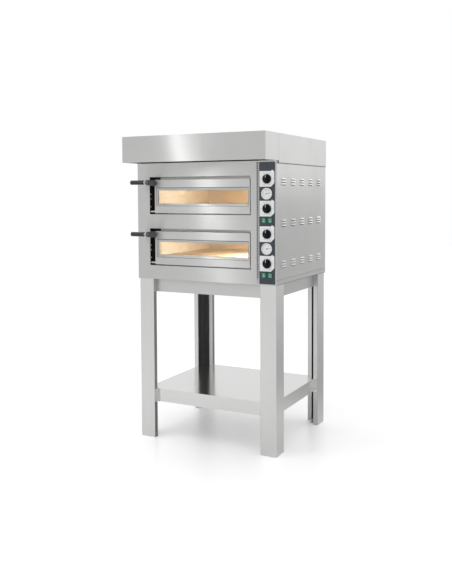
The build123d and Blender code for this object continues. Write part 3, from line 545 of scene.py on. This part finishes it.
def rounded(centre, width, height, radii):
    """A rectangle's outline. The radii go from the lower right corner round to the lower left one."""
    x, z = centre
    corners = ((1, -1, -90), (1, 1, 0), (-1, 1, 90), (-1, -1, 180))
    steps = 7
    points = []
    for (side, up, start), radius in zip(corners, radii):
        cx = x + side * (width / 2 - radius)
        cz = z + up * (height / 2 - radius)
        for i in range(steps + 1 if radius else 1):
            angle = radians(start + 90 * i / steps)
            points.append((cx + radius * cos(angle), cz + radius * sin(angle)))
    return points


def print_sheet(shape, outline, back, thickness, hole=None):
    """Add a thin sheet that faces the front. The outline and the hole are closed runs of (x, z)."""
    edges = []
    for ring in (outline, hole or []):
        verts = [shape.verts.new((x, back, z)) for x, z in ring]
        edges += [shape.edges.new((a, b)) for a, b in zip(verts, verts[1:] + verts[:1])]
    filled = bmesh.ops.triangle_fill(shape, edges=edges, use_beauty=True, use_dissolve=False)
    faces = [g for g in filled["geom"] if isinstance(g, bmesh.types.BMFace)]
    grown = bmesh.ops.extrude_face_region(shape, geom=faces, use_keep_orig=True)
    moved = [g for g in grown["geom"] if isinstance(g, bmesh.types.BMVert)]
    bmesh.ops.translate(shape, verts=moved, vec=(0, -thickness, 0))


def fan(sweep, steps):
    """Angles in equal steps over a sweep with its middle straight up, clockwise, in degrees."""
    return [sweep * (i / steps - 0.5) for i in range(steps + 1)]


def around(centre, angle, radius):
    """The point at a radius and an angle from a centre, with the angle as in a fan."""
    x, z = centre
    return x + radius * sin(radians(angle)), z + radius * cos(radians(angle))


def tick(shape, centre, angle, inner, outer, width, back):
    """A radial mark, with the angle as in a fan."""
    x, z = centre
    out = Vector((sin(radians(angle)), cos(radians(angle))))
    side = Vector((out.y, -out.x)) * width / 2
    corners = [out * inner - side, out * inner + side, out * outer + side, out * outer - side]
    print_sheet(shape, [(x + p.x, z + p.y) for p in corners], back, TICK_THICKNESS)


def figures(name, text, centre, size, back, material):
    """A numeral printed on a plate or dial, facing the front."""
    curve = bpy.data.curves.new(name, "FONT")
    curve.body = text
    curve.size = size
    curve.align_x = "CENTER"
    curve.align_y = "CENTER"
    curve.extrude = INK
    written = new_object(name, curve)
    written.rotation_euler = (pi / 2, 0, 0)
    written.location = (centre[0], back - INK, centre[1])
    bpy.context.view_layer.update()
    mesh = bpy.data.meshes.new_from_object(written)
    mesh.transform(written.matrix_world)
    bpy.data.objects.remove(written)
    add_piece(name, mesh, material, FIXED)


def screw_head(shape, origin, axis, radius):
    """A pan-head screw with a cross recess."""
    axis = Vector(axis).normalized()
    across = axis.orthogonal().normalized()
    other = axis.cross(across)
    arms, rings = 24, 7
    height = radius * 0.55
    recess_floor = height * 0.35
    half_slot, slot_end = 0.13, 0.62  # as shares of the radius
    before = [shape.verts.new(Vector(origin) + axis * recess_floor)] * arms
    for r in range(1, rings + 1):
        share = r / rings
        ring = []
        for i in range(arms):
            angle = 2 * pi * i / arms
            arm = across * cos(angle) + other * sin(angle)
            in_cross = min(abs(cos(angle)), abs(sin(angle))) * share < half_slot and share < slot_end
            lift = recess_floor if in_cross else height * (1 - share**3.5)
            ring.append(shape.verts.new(Vector(origin) + arm * radius * share + axis * lift))
        for i in range(arms):
            j = (i + 1) % arms
            corners = [before[i], ring[i], ring[j]]
            if r > 1:
                corners.append(before[j])
            shape.faces.new(corners)
        before = ring


def add_screws(name, places, axis, radius, material):
    """Screws that make up one piece of the casing."""
    shape = bmesh.new()
    for place in places:
        screw_head(shape, place, axis, radius)
    add_piece(name, finished(name, shape, True), material, FIXED)


# ---- places taken from the frame
def paint(material, *nodes):
    """Give CAD nodes a material, keeping their slots."""
    for name in nodes:
        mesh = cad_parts[name].data
        if not mesh.materials:
            mesh.materials.append(material)
        for i in range(len(mesh.materials)):
            mesh.materials[i] = material


def both(*stems):
    """The nodes of both decks that have one of the stems."""
    return [f"{stem}_{deck}" for deck in DECKS for stem in stems]


def centre_of(node):
    low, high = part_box(node)
    return (low + high) / 2


KNOBS = [f"knob_{deck}_{place}" for deck in DECKS for place in ("floor", "ceiling")]
ROCKERS = [f"rocker_{deck}_{place}" for deck in DECKS for place in ("left", "right")]


# ---- settings
def colour_setting(label, text, default):
    limits = {"size": 3, "min": 0, "max": 1}
    return FloatVectorProperty(name=label, description=text, subtype="COLOR", default=default, **limits)


def length_setting(label, text, default):
    kind = {"unit": "LENGTH", "subtype": "DISTANCE"}
    return FloatProperty(name=label, description=text, min=0, default=default, **kind)


def share_setting(label, text, default):
    return FloatProperty(name=label, description=text, subtype="FACTOR", min=0, max=1, default=default)


def glow_setting(label, text, default):
    return FloatProperty(name=label, description=text, min=0, default=default)


def power_setting(label, text, default):
    return FloatProperty(name=label, description=text, unit="POWER", min=0, default=default)


def angle_setting(label, text, degrees):
    return FloatProperty(name=label, description=text, subtype="ANGLE", default=radians(degrees))


class SteelSettings(bpy.types.PropertyGroup):
    """Finish of the stainless sheet."""

    colour: colour_setting("Colour", "Colour of the polished sheet", (0.575, 0.575, 0.57))
    roughness: share_setting("Roughness", "Roughness of the brushed sheets", 0.36)
    anisotropy: share_setting("Anisotropy", "How far highlights stretch across the brush lines", 1.0)
    grain_lines: FloatProperty(name="Grain", description="Brush lines per metre", min=1, default=900.0)


class DoorSettings(bpy.types.PropertyGroup):
    """Colours of the doors and their levers."""

    lever_colour: colour_setting("Lever", "Powder coat on the levers", (0.075, 0.075, 0.08))
    grip_colour: colour_setting("Grip", "Moulded grip", (0.016, 0.016, 0.017))
    glass_tint: colour_setting("Glass", "Tint of the window glass", (0.6, 0.62, 0.6))
    glass_clearness: share_setting("Clearness", "Light that the window glass lets through", 0.93)
    liner_colour: colour_setting("Liner", "Inner pan of the door", (0.84, 0.81, 0.75))
    left_post: length_setting("Left post", "Door's left edge to the window's crease", 10 * MM)
    right_post: length_setting("Right post", "Door's right edge to the window's crease", 4 * MM)
    top_strip: length_setting("Top strip", "Door's top edge to the window's crease", 40.5 * MM)
    bottom_strip: length_setting("Bottom strip", "Door's lower edge to the window's crease", 39 * MM)
    crease: length_setting("Crease", "Width of the dark line in the window's crease", 2.2 * MM)
    screw_radius: length_setting("Screw radius", "Head radius of the screws in the recess wall", 4.2 * MM)


class ChamberSettings(bpy.types.PropertyGroup):
    """Colours and light of the baking chambers."""

    wall_colour: colour_setting("Walls", "Chamber sheet where it stays pale", (0.96, 0.93, 0.86))
    # the browned colour is partly heat tint and partly painted shade towards the back of the chamber
    wall_tint: colour_setting("Heat tint", "Chamber sheet where heat has browned it", (0.66, 0.52, 0.33))
    # colour of the black strip on the collar beside the lever
    mouth_colour: colour_setting("Mouth", "Enamel beside the lever", (0.012, 0.012, 0.012))
    collar_colour: colour_setting("Collar", "Bare collar round the door", (0.62, 0.62, 0.61))
    # middle of the change from pale to brown, which is partly painted shade
    brown_from: length_setting("Browning", "Middle of the change in tint, along the walls", 350 * MM)
    black_reach: length_setting("Black reach", "How far the enamel runs past the door's left edge", 28 * MM)
    stone_colour: colour_setting("Stone", "Refractory slab", (0.66, 0.55, 0.38))
    lamp_colour: colour_setting("Lamp", "Light of the chamber lamp", (1.0, 0.9, 0.74))
    lamp_glow: glow_setting("Lamp glow", "Brightness of the lamp's dome", 6.0)
    lamp_power: power_setting("Lamp power", "Light that each lamp throws", 4.0)


class ControlSettings(bpy.types.PropertyGroup):
    """Prints and colours of the control column."""

    column_colour: colour_setting("Column", "Slate print of the column", (0.034, 0.043, 0.058))
    plate_colour: colour_setting("Plates", "Pale print round the knobs", (0.86, 0.87, 0.88))
    dial_colour: colour_setting("Dials", "Thermometer dials", (0.9, 0.9, 0.9))
    mark_colour: colour_setting("Marks", "Ticks and numerals", (0.05, 0.05, 0.06))
    dial_mark_colour: colour_setting("Dial marks", "Ticks and numerals of the dials", (0.3, 0.3, 0.31))
    knob_colour: colour_setting("Knobs", "Moulded knobs", (0.009, 0.009, 0.012))
    rocker_colour: colour_setting("Rockers", "Green of the rockers", (0.07, 0.27, 0.175))
    bezel_colour: colour_setting("Bezels", "Dark green of the switch bezels", (0.006, 0.06, 0.04))
    rocker_glow: glow_setting("Rocker glow", "Brightness of the lit rockers", 0.12)
    plate_width: length_setting("Plate width", "Width of a knob's plate", 75 * MM)
    plate_height: length_setting("Plate height", "Height of a knob's plate", 73 * MM)
    plate_cut: length_setting("Plate cut", "Size of the plate's cut corner", 17 * MM)
    print_thickness: length_setting("Print thickness", "Thickness of the plates and dials", 0.3 * MM)
    hottest: IntProperty(name="Hottest", description="Highest number on the dials, in degrees", default=500)


class StageSettings(bpy.types.PropertyGroup):
    """Camera, floor and light."""

    camera_place: FloatVectorProperty(
        name="Camera",
        description="Where the camera stands",
        subtype="TRANSLATION",
        unit="LENGTH",
        default=(1.77376, -3.5259, 1.25062),
    )
    camera_turn: angle_setting("Turn", "Camera's turn to the left", 27.36)
    camera_tilt: angle_setting("Tilt", "Camera's tilt", -3.11)
    camera_roll: angle_setting("Roll", "Camera's roll", -0.25)
    lens: FloatProperty(name="Lens", description="Focal length", unit="CAMERA", default=46.22)
    shift: FloatProperty(name="Shift", description="Vertical lens shift", default=-0.0992)
    floor_colour: colour_setting("Floor", "Pale floor", (0.9, 0.9, 0.9))
    floor_glow: glow_setting("Floor glow", "Light of the floor itself", 0.24)
    room_light: glow_setting("Room light", "Light of the white room", 0.78)
    floor_behind: share_setting("Floor behind", "How bright the far floor looks in the sheets", 0.42)
    key_power: power_setting("Key power", "Narrow lamp above the front", 3.2)
    side_power: power_setting("Side power", "Long lamp beside the hood", 2.4)
    overhang_power: power_setting("Overhang power", "Lamp under the overhang", 0.27)
    top_power: power_setting("Top power", "Wide overhead lamp", 30.0)


SETTINGS = {
    "oven_steel": SteelSettings,
    "oven_doors": DoorSettings,
    "oven_chambers": ChamberSettings,
    "oven_controls": ControlSettings,
    "oven_stage": StageSettings,
}


# ---- operators
ZINC = (0.62, 0.61, 0.58)
SCREW_RADIUS = 3.6 * MM


class OVEN_OT_casing(bpy.types.Operator):
    """Finish the casing's sheets and add their screws"""

    bl_idname = "oven.casing"
    bl_label = "Casing"

    def execute(self, context):
        steel = context.scene.oven_steel
        # painted highlight on the louvres; painted shade under the hood's rim and along the sides' bottom
        # fold
        marks = ((louvre_faces, 1.5), (casing_seams, 0.35))
        panels = ("front_panel", "back_panel", "side_panel_left", "side_panel_right")
        paint(brushed_sheet("casing_sheet", steel, marks=marks), *panels, "top_cover", "base_tray")
        paint(moulded_plastic("gland_nylon", (0.02, 0.02, 0.021), 0.45), "cable_gland")
        self.back_screws(bright_zinc("screw_zinc", ZINC))
        return {"FINISHED"}

    def back_screws(self, zinc):
        """Pan-head screws round the back panel."""
        low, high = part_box("back_panel")
        inset = 8 * MM
        left, right, bottom, top = low.x + inset, high.x - inset, low.z + inset, high.z - 3 * inset
        across, up = 6, 5  # spaces between the screws of a level row and of an upright one
        columns = [left + (right - left) * i / across for i in range(across + 1)]
        rows = [bottom + (top - bottom) * i / up for i in range(1, up)]
        places = [(x, high.y, z) for x in columns for z in (bottom, top)]
        places += [(x, high.y, z) for z in rows for x in (left, right)]
        add_screws("back_screws", places, (0, 1, 0), SCREW_RADIUS, zinc)


class OVEN_OT_hood(bpy.types.Operator):
    """Finish the canopy hood and add the screws at its back"""

    bl_idname = "oven.hood"
    bl_label = "Hood"

    def execute(self, context):
        # painted light on the overhang's inner faces; painted shade on the hood's lowest rim
        marks = ((visor_inside, 1.65), (hood_rim, 0.4))
        paint(brushed_sheet("hood_sheet", context.scene.oven_steel, marks=marks), "hood_visor", "hood_shell")
        low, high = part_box("hood_shell")
        inset, height, spaces = 40 * MM, 6 * MM, 5
        width = high.x - low.x - 2 * inset
        places = [(low.x + inset + width * i / spaces, high.y, low.z + height) for i in range(spaces + 1)]
        add_screws("hood_screws", places, (0, 1, 0), SCREW_RADIUS, bright_zinc("hood_screw_zinc", ZINC))
        return {"FINISHED"}


class OVEN_OT_stand(bpy.types.Operator):
    """Finish the legs, rails, shelf and bolts"""

    bl_idname = "oven.stand"
    bl_label = "Stand"

    def execute(self, context):
        steel = context.scene.oven_steel
        for end in ("front", "rear"):
            for side in ("left", "right"):
                self.leg(f"leg_{end}_{side}", steel)
        rails = [f"rail_{side}" for side in ("front", "rear", "left", "right")]
        paint(brushed_sheet("rail_sheet", steel, anisotropy=0.4, dull=0.05), *rails)
        paint(brushed_sheet("shelf_sheet", steel, anisotropy=0.0, shade=1.22, dull=-0.2), "shelf")
        paint(bright_zinc("bolt_zinc", (0.6, 0.59, 0.56)), "stand_bolts")
        return {"FINISHED"}

    def leg(self, name, steel):
        """A leg's folded sheet, with painted shade on its inner faces."""

        # painted shade on the inner faces and the lip's edge
        def inner(tree, place):
            return inner_faces(tree, place, name)

        look = {"grain": upright_grain, "anisotropy": 0.4, "turn": 0.0, "shade": 1.24}
        paint(brushed_sheet(f"sheet_{name}", steel, marks=((inner, 0.3),), **look), name)


class OVEN_OT_doors(bpy.types.Operator):
    """Finish the doors, their windows, levers and grips"""

    bl_idname = "oven.doors"
    bl_label = "Doors"

    def execute(self, context):
        doors = context.scene.oven_doors
        for deck in DECKS:
            self.front(deck, doors, context.scene.oven_steel)
            self.wall_screws(deck, doors.screw_radius)
        paint(liner_sheet(doors), *both("door_liner"))
        paint(pane("window_glass", doors.glass_tint, doors.glass_clearness, 0.05), *both("door_glass"))
        paint(painted_metal("lever_coat", doors.lever_colour, 0.42), *both("lever"))
        paint(moulded_plastic("grip_plastic", doors.grip_colour, 0.42), *both("grip"))
        paint(bright_zinc("pin_zinc", (0.5, 0.49, 0.47)), *both("grip_bolt", "hinge_pins"))
        return {"FINISHED"}

    def front(self, deck, doors, steel):
        """The door's outer pan, with a dark line where the sheet creases in towards the window."""
        low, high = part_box(f"door_frame_{deck}")
        left, right = low.x + doors.left_post, high.x - doors.right_post
        bottom, top = low.z + doors.bottom_strip, high.z - doors.top_strip

        def crease(tree, place):
            x, _, z = tree.split(place)
            end, edge = 0.5 * MM, 0.3 * MM  # softness at a line's ends and along it
            beside = x.above(left, end) * x.below(right, end)
            level = z.above(bottom, end) * z.below(top, end)
            upper = abs(z - top).below(doors.crease * 0.7, edge)
            lower = abs(z - bottom).below(doors.crease * 0.45, edge)
            return beside * upper.larger(lower) + level * abs(x - left).below(doors.crease * 0.5, edge)

        sheet = brushed_sheet(f"door_sheet_{deck}", steel, shade=1.02, marks=((crease, 0.2),))
        paint(sheet, f"door_frame_{deck}")

    def wall_screws(self, deck, radius):
        """Three screws down the recess's left wall, beside the lever."""
        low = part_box(f"chamber_{deck}")[0]
        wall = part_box(f"hinge_pins_{deck}")[0].x + 7 * MM
        depth, bottom = low.y + 9 * MM, low.z + 2 * MM
        places = [(wall, depth, bottom + height) for height in (101 * MM, 77 * MM, 38 * MM)]
        zinc = bright_zinc(f"wall_screw_zinc_{deck}", (0.72, 0.71, 0.69))
        add_screws(f"wall_screws_{deck}", places, (1, 0, 0), radius, zinc)


class OVEN_OT_chambers(bpy.types.Operator):
    """Finish the baking chambers and light their lamps"""

    bl_idname = "oven.chambers"
    bl_label = "Chambers"

    def execute(self, context):
        chambers = context.scene.oven_chambers
        paint(chamber_sheet(chambers), *both("chamber"))
        paint(refractory(chambers), *both("hearth_stone"))
        paint(oxidised_tube(), *both("heaters"))
        paint(lamp_glass(chambers), *both("lamp"))
        paint(mineral_wool(), "insulation")
        for deck in DECKS:
            self.lamp_light(deck, chambers)
        return {"FINISHED"}

    def lamp_light(self, deck, chambers):
        """A small warm light in the chamber, just clear of the lamp's dome."""
        low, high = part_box(f"lamp_{deck}")
        light = bpy.data.lights.new(f"chamber_light_{deck}", "POINT")
        light.energy = chambers.lamp_power
        light.color = chambers.lamp_colour
        light.shadow_soft_size = 20 * MM
        lamp = new_object(f"chamber_light_{deck}", light)
        lamp.location = (low.x - 22 * MM, (low.y + high.y) / 2, (low.z + high.z) / 2)


class OVEN_OT_controls(bpy.types.Operator):
    """Finish the control column with its knob plates"""

    bl_idname = "oven.controls"
    bl_label = "Control column"

    def execute(self, context):
        controls = context.scene.oven_controls
        paint(slate_print(controls), "control_fascia")
        paint(moulded_plastic("regulator_moulding", (0.1, 0.08, 0.06), 0.5), "heat_regulators")
        plate = pale_print("plate_print", controls.plate_colour)
        marks = pale_print("mark_print", controls.mark_colour)
        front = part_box("control_fascia")[0].y
        middle = centre_of("control_fascia").x
        for name in KNOBS:
            self.plate(name, middle, front, controls, plate, marks)
        return {"FINISHED"}

    def plate(self, name, middle, front, controls, plate, marks):
        """A pale plate with a cut lower corner, a small tab above and a scale round the knob."""
        stem = name.replace("knob", "plate")
        x, _, z = centre_of(name)
        width, height, thick = controls.plate_width, controls.plate_height, controls.print_thickness
        left, right, low, high = middle - width / 2, middle + width / 2, z - height / 2, z + height / 2
        cut = controls.plate_cut
        outline = [(left, low), (right - cut, low), (right, low + cut), (right, high), (left, high)]
        shape = bmesh.new()
        print_sheet(shape, outline, front, thick, circle((x, z), 6 * MM, HOLE_TURNS))
        tab_centre = (middle + 0.36 * width, high + 2 * MM)
        tab = rounded(tab_centre, 9 * MM, 4.5 * MM, (0.0, 1 * MM, 1 * MM, 0.0))
        print_sheet(shape, tab, front, thick)
        add_piece(stem, finished(stem, shape), plate, FIXED)
        sweep, steps, numbers = 300, 10, 5
        inner, outer, line = 25 * MM, 28 * MM, 0.8 * MM
        number_radius, size = 31.5 * MM, 5 * MM
        shape = bmesh.new()
        for angle in fan(sweep, steps):
            tick(shape, (x, z), angle, inner, outer, line, front - thick)
        add_piece(f"{stem}_ticks", finished(f"{stem}_ticks", shape), marks, FIXED)
        for i, angle in enumerate(fan(sweep, numbers)):
            number = i * steps // numbers
            spot = around((x, z), angle, number_radius)
            figures(f"{stem}_number_{number}", str(number), spot, size, front - thick, marks)


class OVEN_OT_knobs(bpy.types.Operator):
    """Finish the knobs with their index lines"""

    bl_idname = "oven.knobs"
    bl_label = "Knobs"

    def execute(self, context):
        for name in KNOBS:
            paint(knob_plastic(context.scene.oven_controls, centre_of(name)), name)
        return {"FINISHED"}


class OVEN_OT_switches(bpy.types.Operator):
    """Finish the switch housings and the lit rockers"""

    bl_idname = "oven.switches"
    bl_label = "Switches"

    def execute(self, context):
        controls = context.scene.oven_controls
        paint(moulded_plastic("switch_moulding", controls.bezel_colour, 0.3, 0.3), *both("switch_housing"))
        for name in ROCKERS:
            paint(rocker_plastic(controls, centre_of(name)), name)
        return {"FINISHED"}


class OVEN_OT_thermometers(bpy.types.Operator):
    """Finish the thermometers with their dials, marks and numbers"""

    bl_idname = "oven.thermometers"
    bl_label = "Thermometers"

    def execute(self, context):
        controls = context.scene.oven_controls
        rim = brushed_sheet("rim_steel", context.scene.oven_steel, shade=1.5, anisotropy=0.0)
        paint(rim, *both("thermometer_case"))
        paint(pane("dial_glass", (0.9, 0.9, 0.9), 0.95, 0.03), *both("thermometer_glass"))
        paint(painted_metal("needle_paint", controls.mark_colour, 0.4), *both("needle"))
        dial = pale_print("dial_print", controls.dial_colour, 0.35)
        marks = pale_print("dial_marks", controls.dial_mark_colour)
        for deck in DECKS:
            self.dial(deck, controls, dial, marks)
        return {"FINISHED"}

    def dial(self, deck, controls, dial, marks):
        """A pale disc behind the needle, with fifty steps, every fifth of them longer, and six numbers."""
        stem = f"dial_{deck}"
        low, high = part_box(f"thermometer_glass_{deck}")
        x, _, z = (low + high) / 2
        radius = (high.x - low.x) / 2 - 0.2 * MM
        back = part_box(f"needle_{deck}")[0].y + 1.35 * MM
        thick = controls.print_thickness / 2
        shape = bmesh.new()
        hole = circle((x, z), 2 * MM, HOLE_TURNS)
        print_sheet(shape, circle((x, z), radius, RIM_TURNS), back, thick, hole)
        add_piece(stem, finished(stem, shape), dial, FIXED)
        sweep, steps, numbers = 270, 50, 5
        outer, number_radius, size = radius - 1 * MM, radius - 8 * MM, 4.2 * MM
        shape = bmesh.new()
        for i, angle in enumerate(fan(sweep, steps)):
            length, width = (3.2 * MM, 0.7 * MM) if i % 5 == 0 else (1.6 * MM, 0.35 * MM)
            tick(shape, (x, z), angle, outer - length, outer, width, back - thick)
        add_piece(f"{stem}_ticks", finished(f"{stem}_ticks", shape), marks, FIXED)
        for i, angle in enumerate(fan(sweep, numbers)):
            spot = around((x, z), angle, number_radius)
            text = str(controls.hottest * i // numbers)
            figures(f"{stem}_number_{i}", text, spot, size, back - thick, marks)


def placed(place, right, up, back):
    """The matrix of a lamp or camera from its place and its own three axes."""
    return Matrix.LocRotScale(Vector(place), Matrix((right, up, back)).transposed().to_quaternion(), None)


class OVEN_OT_stage(bpy.types.Operator):
    """Set the floor, the lamps, the white room and the camera"""

    bl_idname = "oven.stage"
    bl_label = "Stage"

    def execute(self, context):
        stage = context.scene.oven_stage
        self.floor(stage)
        self.room(context.scene, stage)
        self.key_lamp(stage)
        self.side_lamp(stage)
        self.overhang_lamp(stage)
        self.top_lamp(stage)
        self.camera(context.scene, stage)
        return {"FINISHED"}

    def floor(self, stage):
        """A pale floor that glows to the eye and looks darker behind the oven in reflections."""
        shape = bmesh.new()
        bmesh.ops.create_grid(shape, x_segments=1, y_segments=1, size=14)
        bmesh.ops.translate(shape, verts=shape.verts, vec=(0, 0, -0.5 * MM))
        mesh = bpy.data.meshes.new("floor")
        shape.to_mesh(mesh)
        shape.free()
        floor = new_object("floor", mesh)
        tree, place = new_material("pale_floor")
        mottle = tree.noise(place, 1.5)
        colour = Vector(stage.floor_colour)
        depth = tree.split(place)[1]
        behind = tree.ray("Is Glossy Ray") * depth.above(0.6, 0.5) * (1 - depth.above(3.5, 2.5) * 0.8)
        pale = tree.tones(mottle, colour, 0.99, 1)
        material = tree.surface(
            Base_Color=tree.blend(behind, pale, colour * stage.floor_behind),
            Roughness=0.3,
            Emission_Color=tree.blend(tree.ray("Is Camera Ray"), (0.0, 0.0, 0.0), (1.0, 1.0, 1.0)),
            Emission_Strength=stage.floor_glow,
        )
        mesh.materials.append(material)

    def room(self, scene, stage):
        """White to the eye, shaded by height in reflections, a plain soft light on everything else."""
        world = bpy.data.worlds.new("white_room")
        scene.world = world
        tree = Tree(world)
        _, depth, height = tree.split(tree.node("ShaderNodeTexCoord", output="Generated"))
        rise = height * 0.5 + 0.5
        # brightness from straight down (0) over the horizon (0.5) to straight up (1)
        front = ((0.0, 0.8), (0.47, 0.84), (0.53, 0.97), (0.7, 1.12), (1.0, 1.15))
        back = ((0.0, 0.45), (0.48, 0.6), (0.5, 0.9), (0.76, 0.98), (0.88, 1.6), (1.0, 1.6))
        ramps = [tree.node("ShaderNodeValToRGB", {"stops": stops}, {0: rise}) for stops in (front, back)]
        towards_back = depth.above(0.1, 0.5)
        glossy = tree.blend(towards_back, *ramps)
        seen = tree.ray("Is Camera Ray").larger(tree.ray("Is Transmission Ray"))
        light = tree.blend(tree.ray("Is Glossy Ray"), (stage.room_light,) * 3, glossy)
        shown = tree.blend(seen, light, (1.0, 1.0, 1.0))
        background = tree.node("ShaderNodeBackground", None, {"Color": shown, "Strength": 1.0})
        tree.node("ShaderNodeOutputWorld", None, {"Surface": background}, output=None)

    def lamp(self, name, place, facing, up, size, power):
        """A flat lamp of a width and height, out of the camera's sight."""
        light = bpy.data.lights.new(name, "AREA")
        light.shape = "RECTANGLE"
        light.size, light.size_y = size
        light.energy = power
        lamp = new_object(name, light)
        away = -Vector(facing).normalized()
        side = Vector(up).cross(away).normalized()
        lamp.matrix_world = placed(place, side, away.cross(side), away)
        lamp.visible_camera = False
        return lamp

    def strip_lamp(self, name, ends, facing, width, power):
        """A long lamp between two ends, which only shows in what gleams."""
        first, last = (Vector(end) for end in ends)
        run = last - first
        lamp = self.lamp(name, (first + last) / 2, facing, run, (width, run.length), power)
        lamp.data.diffuse_factor = 0

    def key_lamp(self, stage):
        """A narrow lamp above the front: the brushed sheets draw its gleam out into an upright band."""
        ends = ((-1.112, -2.539, 1.659), (-0.454, -0.991, 1.767))
        self.strip_lamp("key_lamp", ends, (0.369, -0.094, -0.925), 35 * MM, stage.key_power)

    def side_lamp(self, stage):
        """A long lamp beside the hood: the side sheets fade below it."""
        ends = ((0.48, -0.39, 1.53), (0.79, 2.77, 1.53))
        self.strip_lamp("side_lamp", ends, (-0.995, 0.098, 0), 520 * MM, stage.side_power)

    def overhang_lamp(self, stage):
        """A faint lamp along the underside of the hood's overhang, for the bare panel below it."""
        low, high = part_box("hood_visor")
        inset, drop = 5 * MM, 1 * MM
        ends = ((0, low.y + inset, low.z - drop), (0, high.y - inset, low.z - drop))
        width = high.x - low.x - 2 * inset
        self.strip_lamp("overhang_lamp", ends, (0, 0, -1), width, stage.overhang_power)

    def top_lamp(self, stage):
        """A wide soft lamp over the front, kept out of the reflections."""
        place, facing = (-0.6, -0.8, 3.6), (0.6, 0.8, -3.0)
        lamp = self.lamp("top_lamp", place, facing, (0, 1, 0), (3.2, 3.2), stage.top_power)
        lamp.visible_glossy = False

    def camera(self, scene, stage):
        """The view of the oven's front and right side."""
        camera = bpy.data.cameras.new("camera")
        camera.lens = stage.lens
        camera.sensor_width = 36
        camera.shift_y = stage.shift
        camera.clip_end = 60
        rig = new_object("camera", camera)
        turn, tilt, roll = stage.camera_turn, stage.camera_tilt, stage.camera_roll
        ahead = Vector((-sin(turn) * cos(tilt), cos(turn) * cos(tilt), sin(tilt)))
        level = Vector((cos(turn), sin(turn), 0))
        rise = level.cross(ahead)
        right = level * cos(roll) + rise * sin(roll)
        up = -level * sin(roll) + rise * cos(roll)
        rig.matrix_world = placed(stage.camera_place, right, up, -ahead)
        scene.camera = rig
        scene.view_settings.view_transform = "Standard"


OPERATORS = (
    OVEN_OT_casing,
    OVEN_OT_hood,
    OVEN_OT_stand,
    OVEN_OT_doors,
    OVEN_OT_chambers,
    OVEN_OT_controls,
    OVEN_OT_knobs,
    OVEN_OT_switches,
    OVEN_OT_thermometers,
    OVEN_OT_stage,
)


class OVEN_PT_sidebar(bpy.types.Panel):
    """The oven's pieces and their settings"""

    bl_label = "Deck oven"
    bl_idname = "OVEN_PT_sidebar"
    bl_space_type = "VIEW_3D"
    bl_region_type = "UI"
    bl_category = "Oven"

    def draw(self, context):
        for operator in OPERATORS:
            self.layout.operator(operator.bl_idname)
        for name in SETTINGS:
            box = self.layout.box()
            group = getattr(context.scene, name)
            box.label(text=group.bl_rna.description)
            for key in group.bl_rna.properties.keys():
                if key not in ("rna_type", "name"):
                    box.prop(group, key)


def register():
    for group in SETTINGS.values():
        bpy.utils.register_class(group)
    for name, group in SETTINGS.items():
        setattr(bpy.types.Scene, name, PointerProperty(type=group))
    for operator in OPERATORS:
        bpy.utils.register_class(operator)
    bpy.utils.register_class(OVEN_PT_sidebar)


def unregister():
    bpy.utils.unregister_class(OVEN_PT_sidebar)
    for operator in reversed(OPERATORS):
        bpy.utils.unregister_class(operator)
    for name in SETTINGS:
        delattr(bpy.types.Scene, name)
    for group in reversed(list(SETTINGS.values())):
        bpy.utils.unregister_class(group)


def main():
    register()
    for operator in OPERATORS:
        group, name = operator.bl_idname.split(".")
        getattr(getattr(bpy.ops, group), name)()


if __name__ == "__main__":
    main()
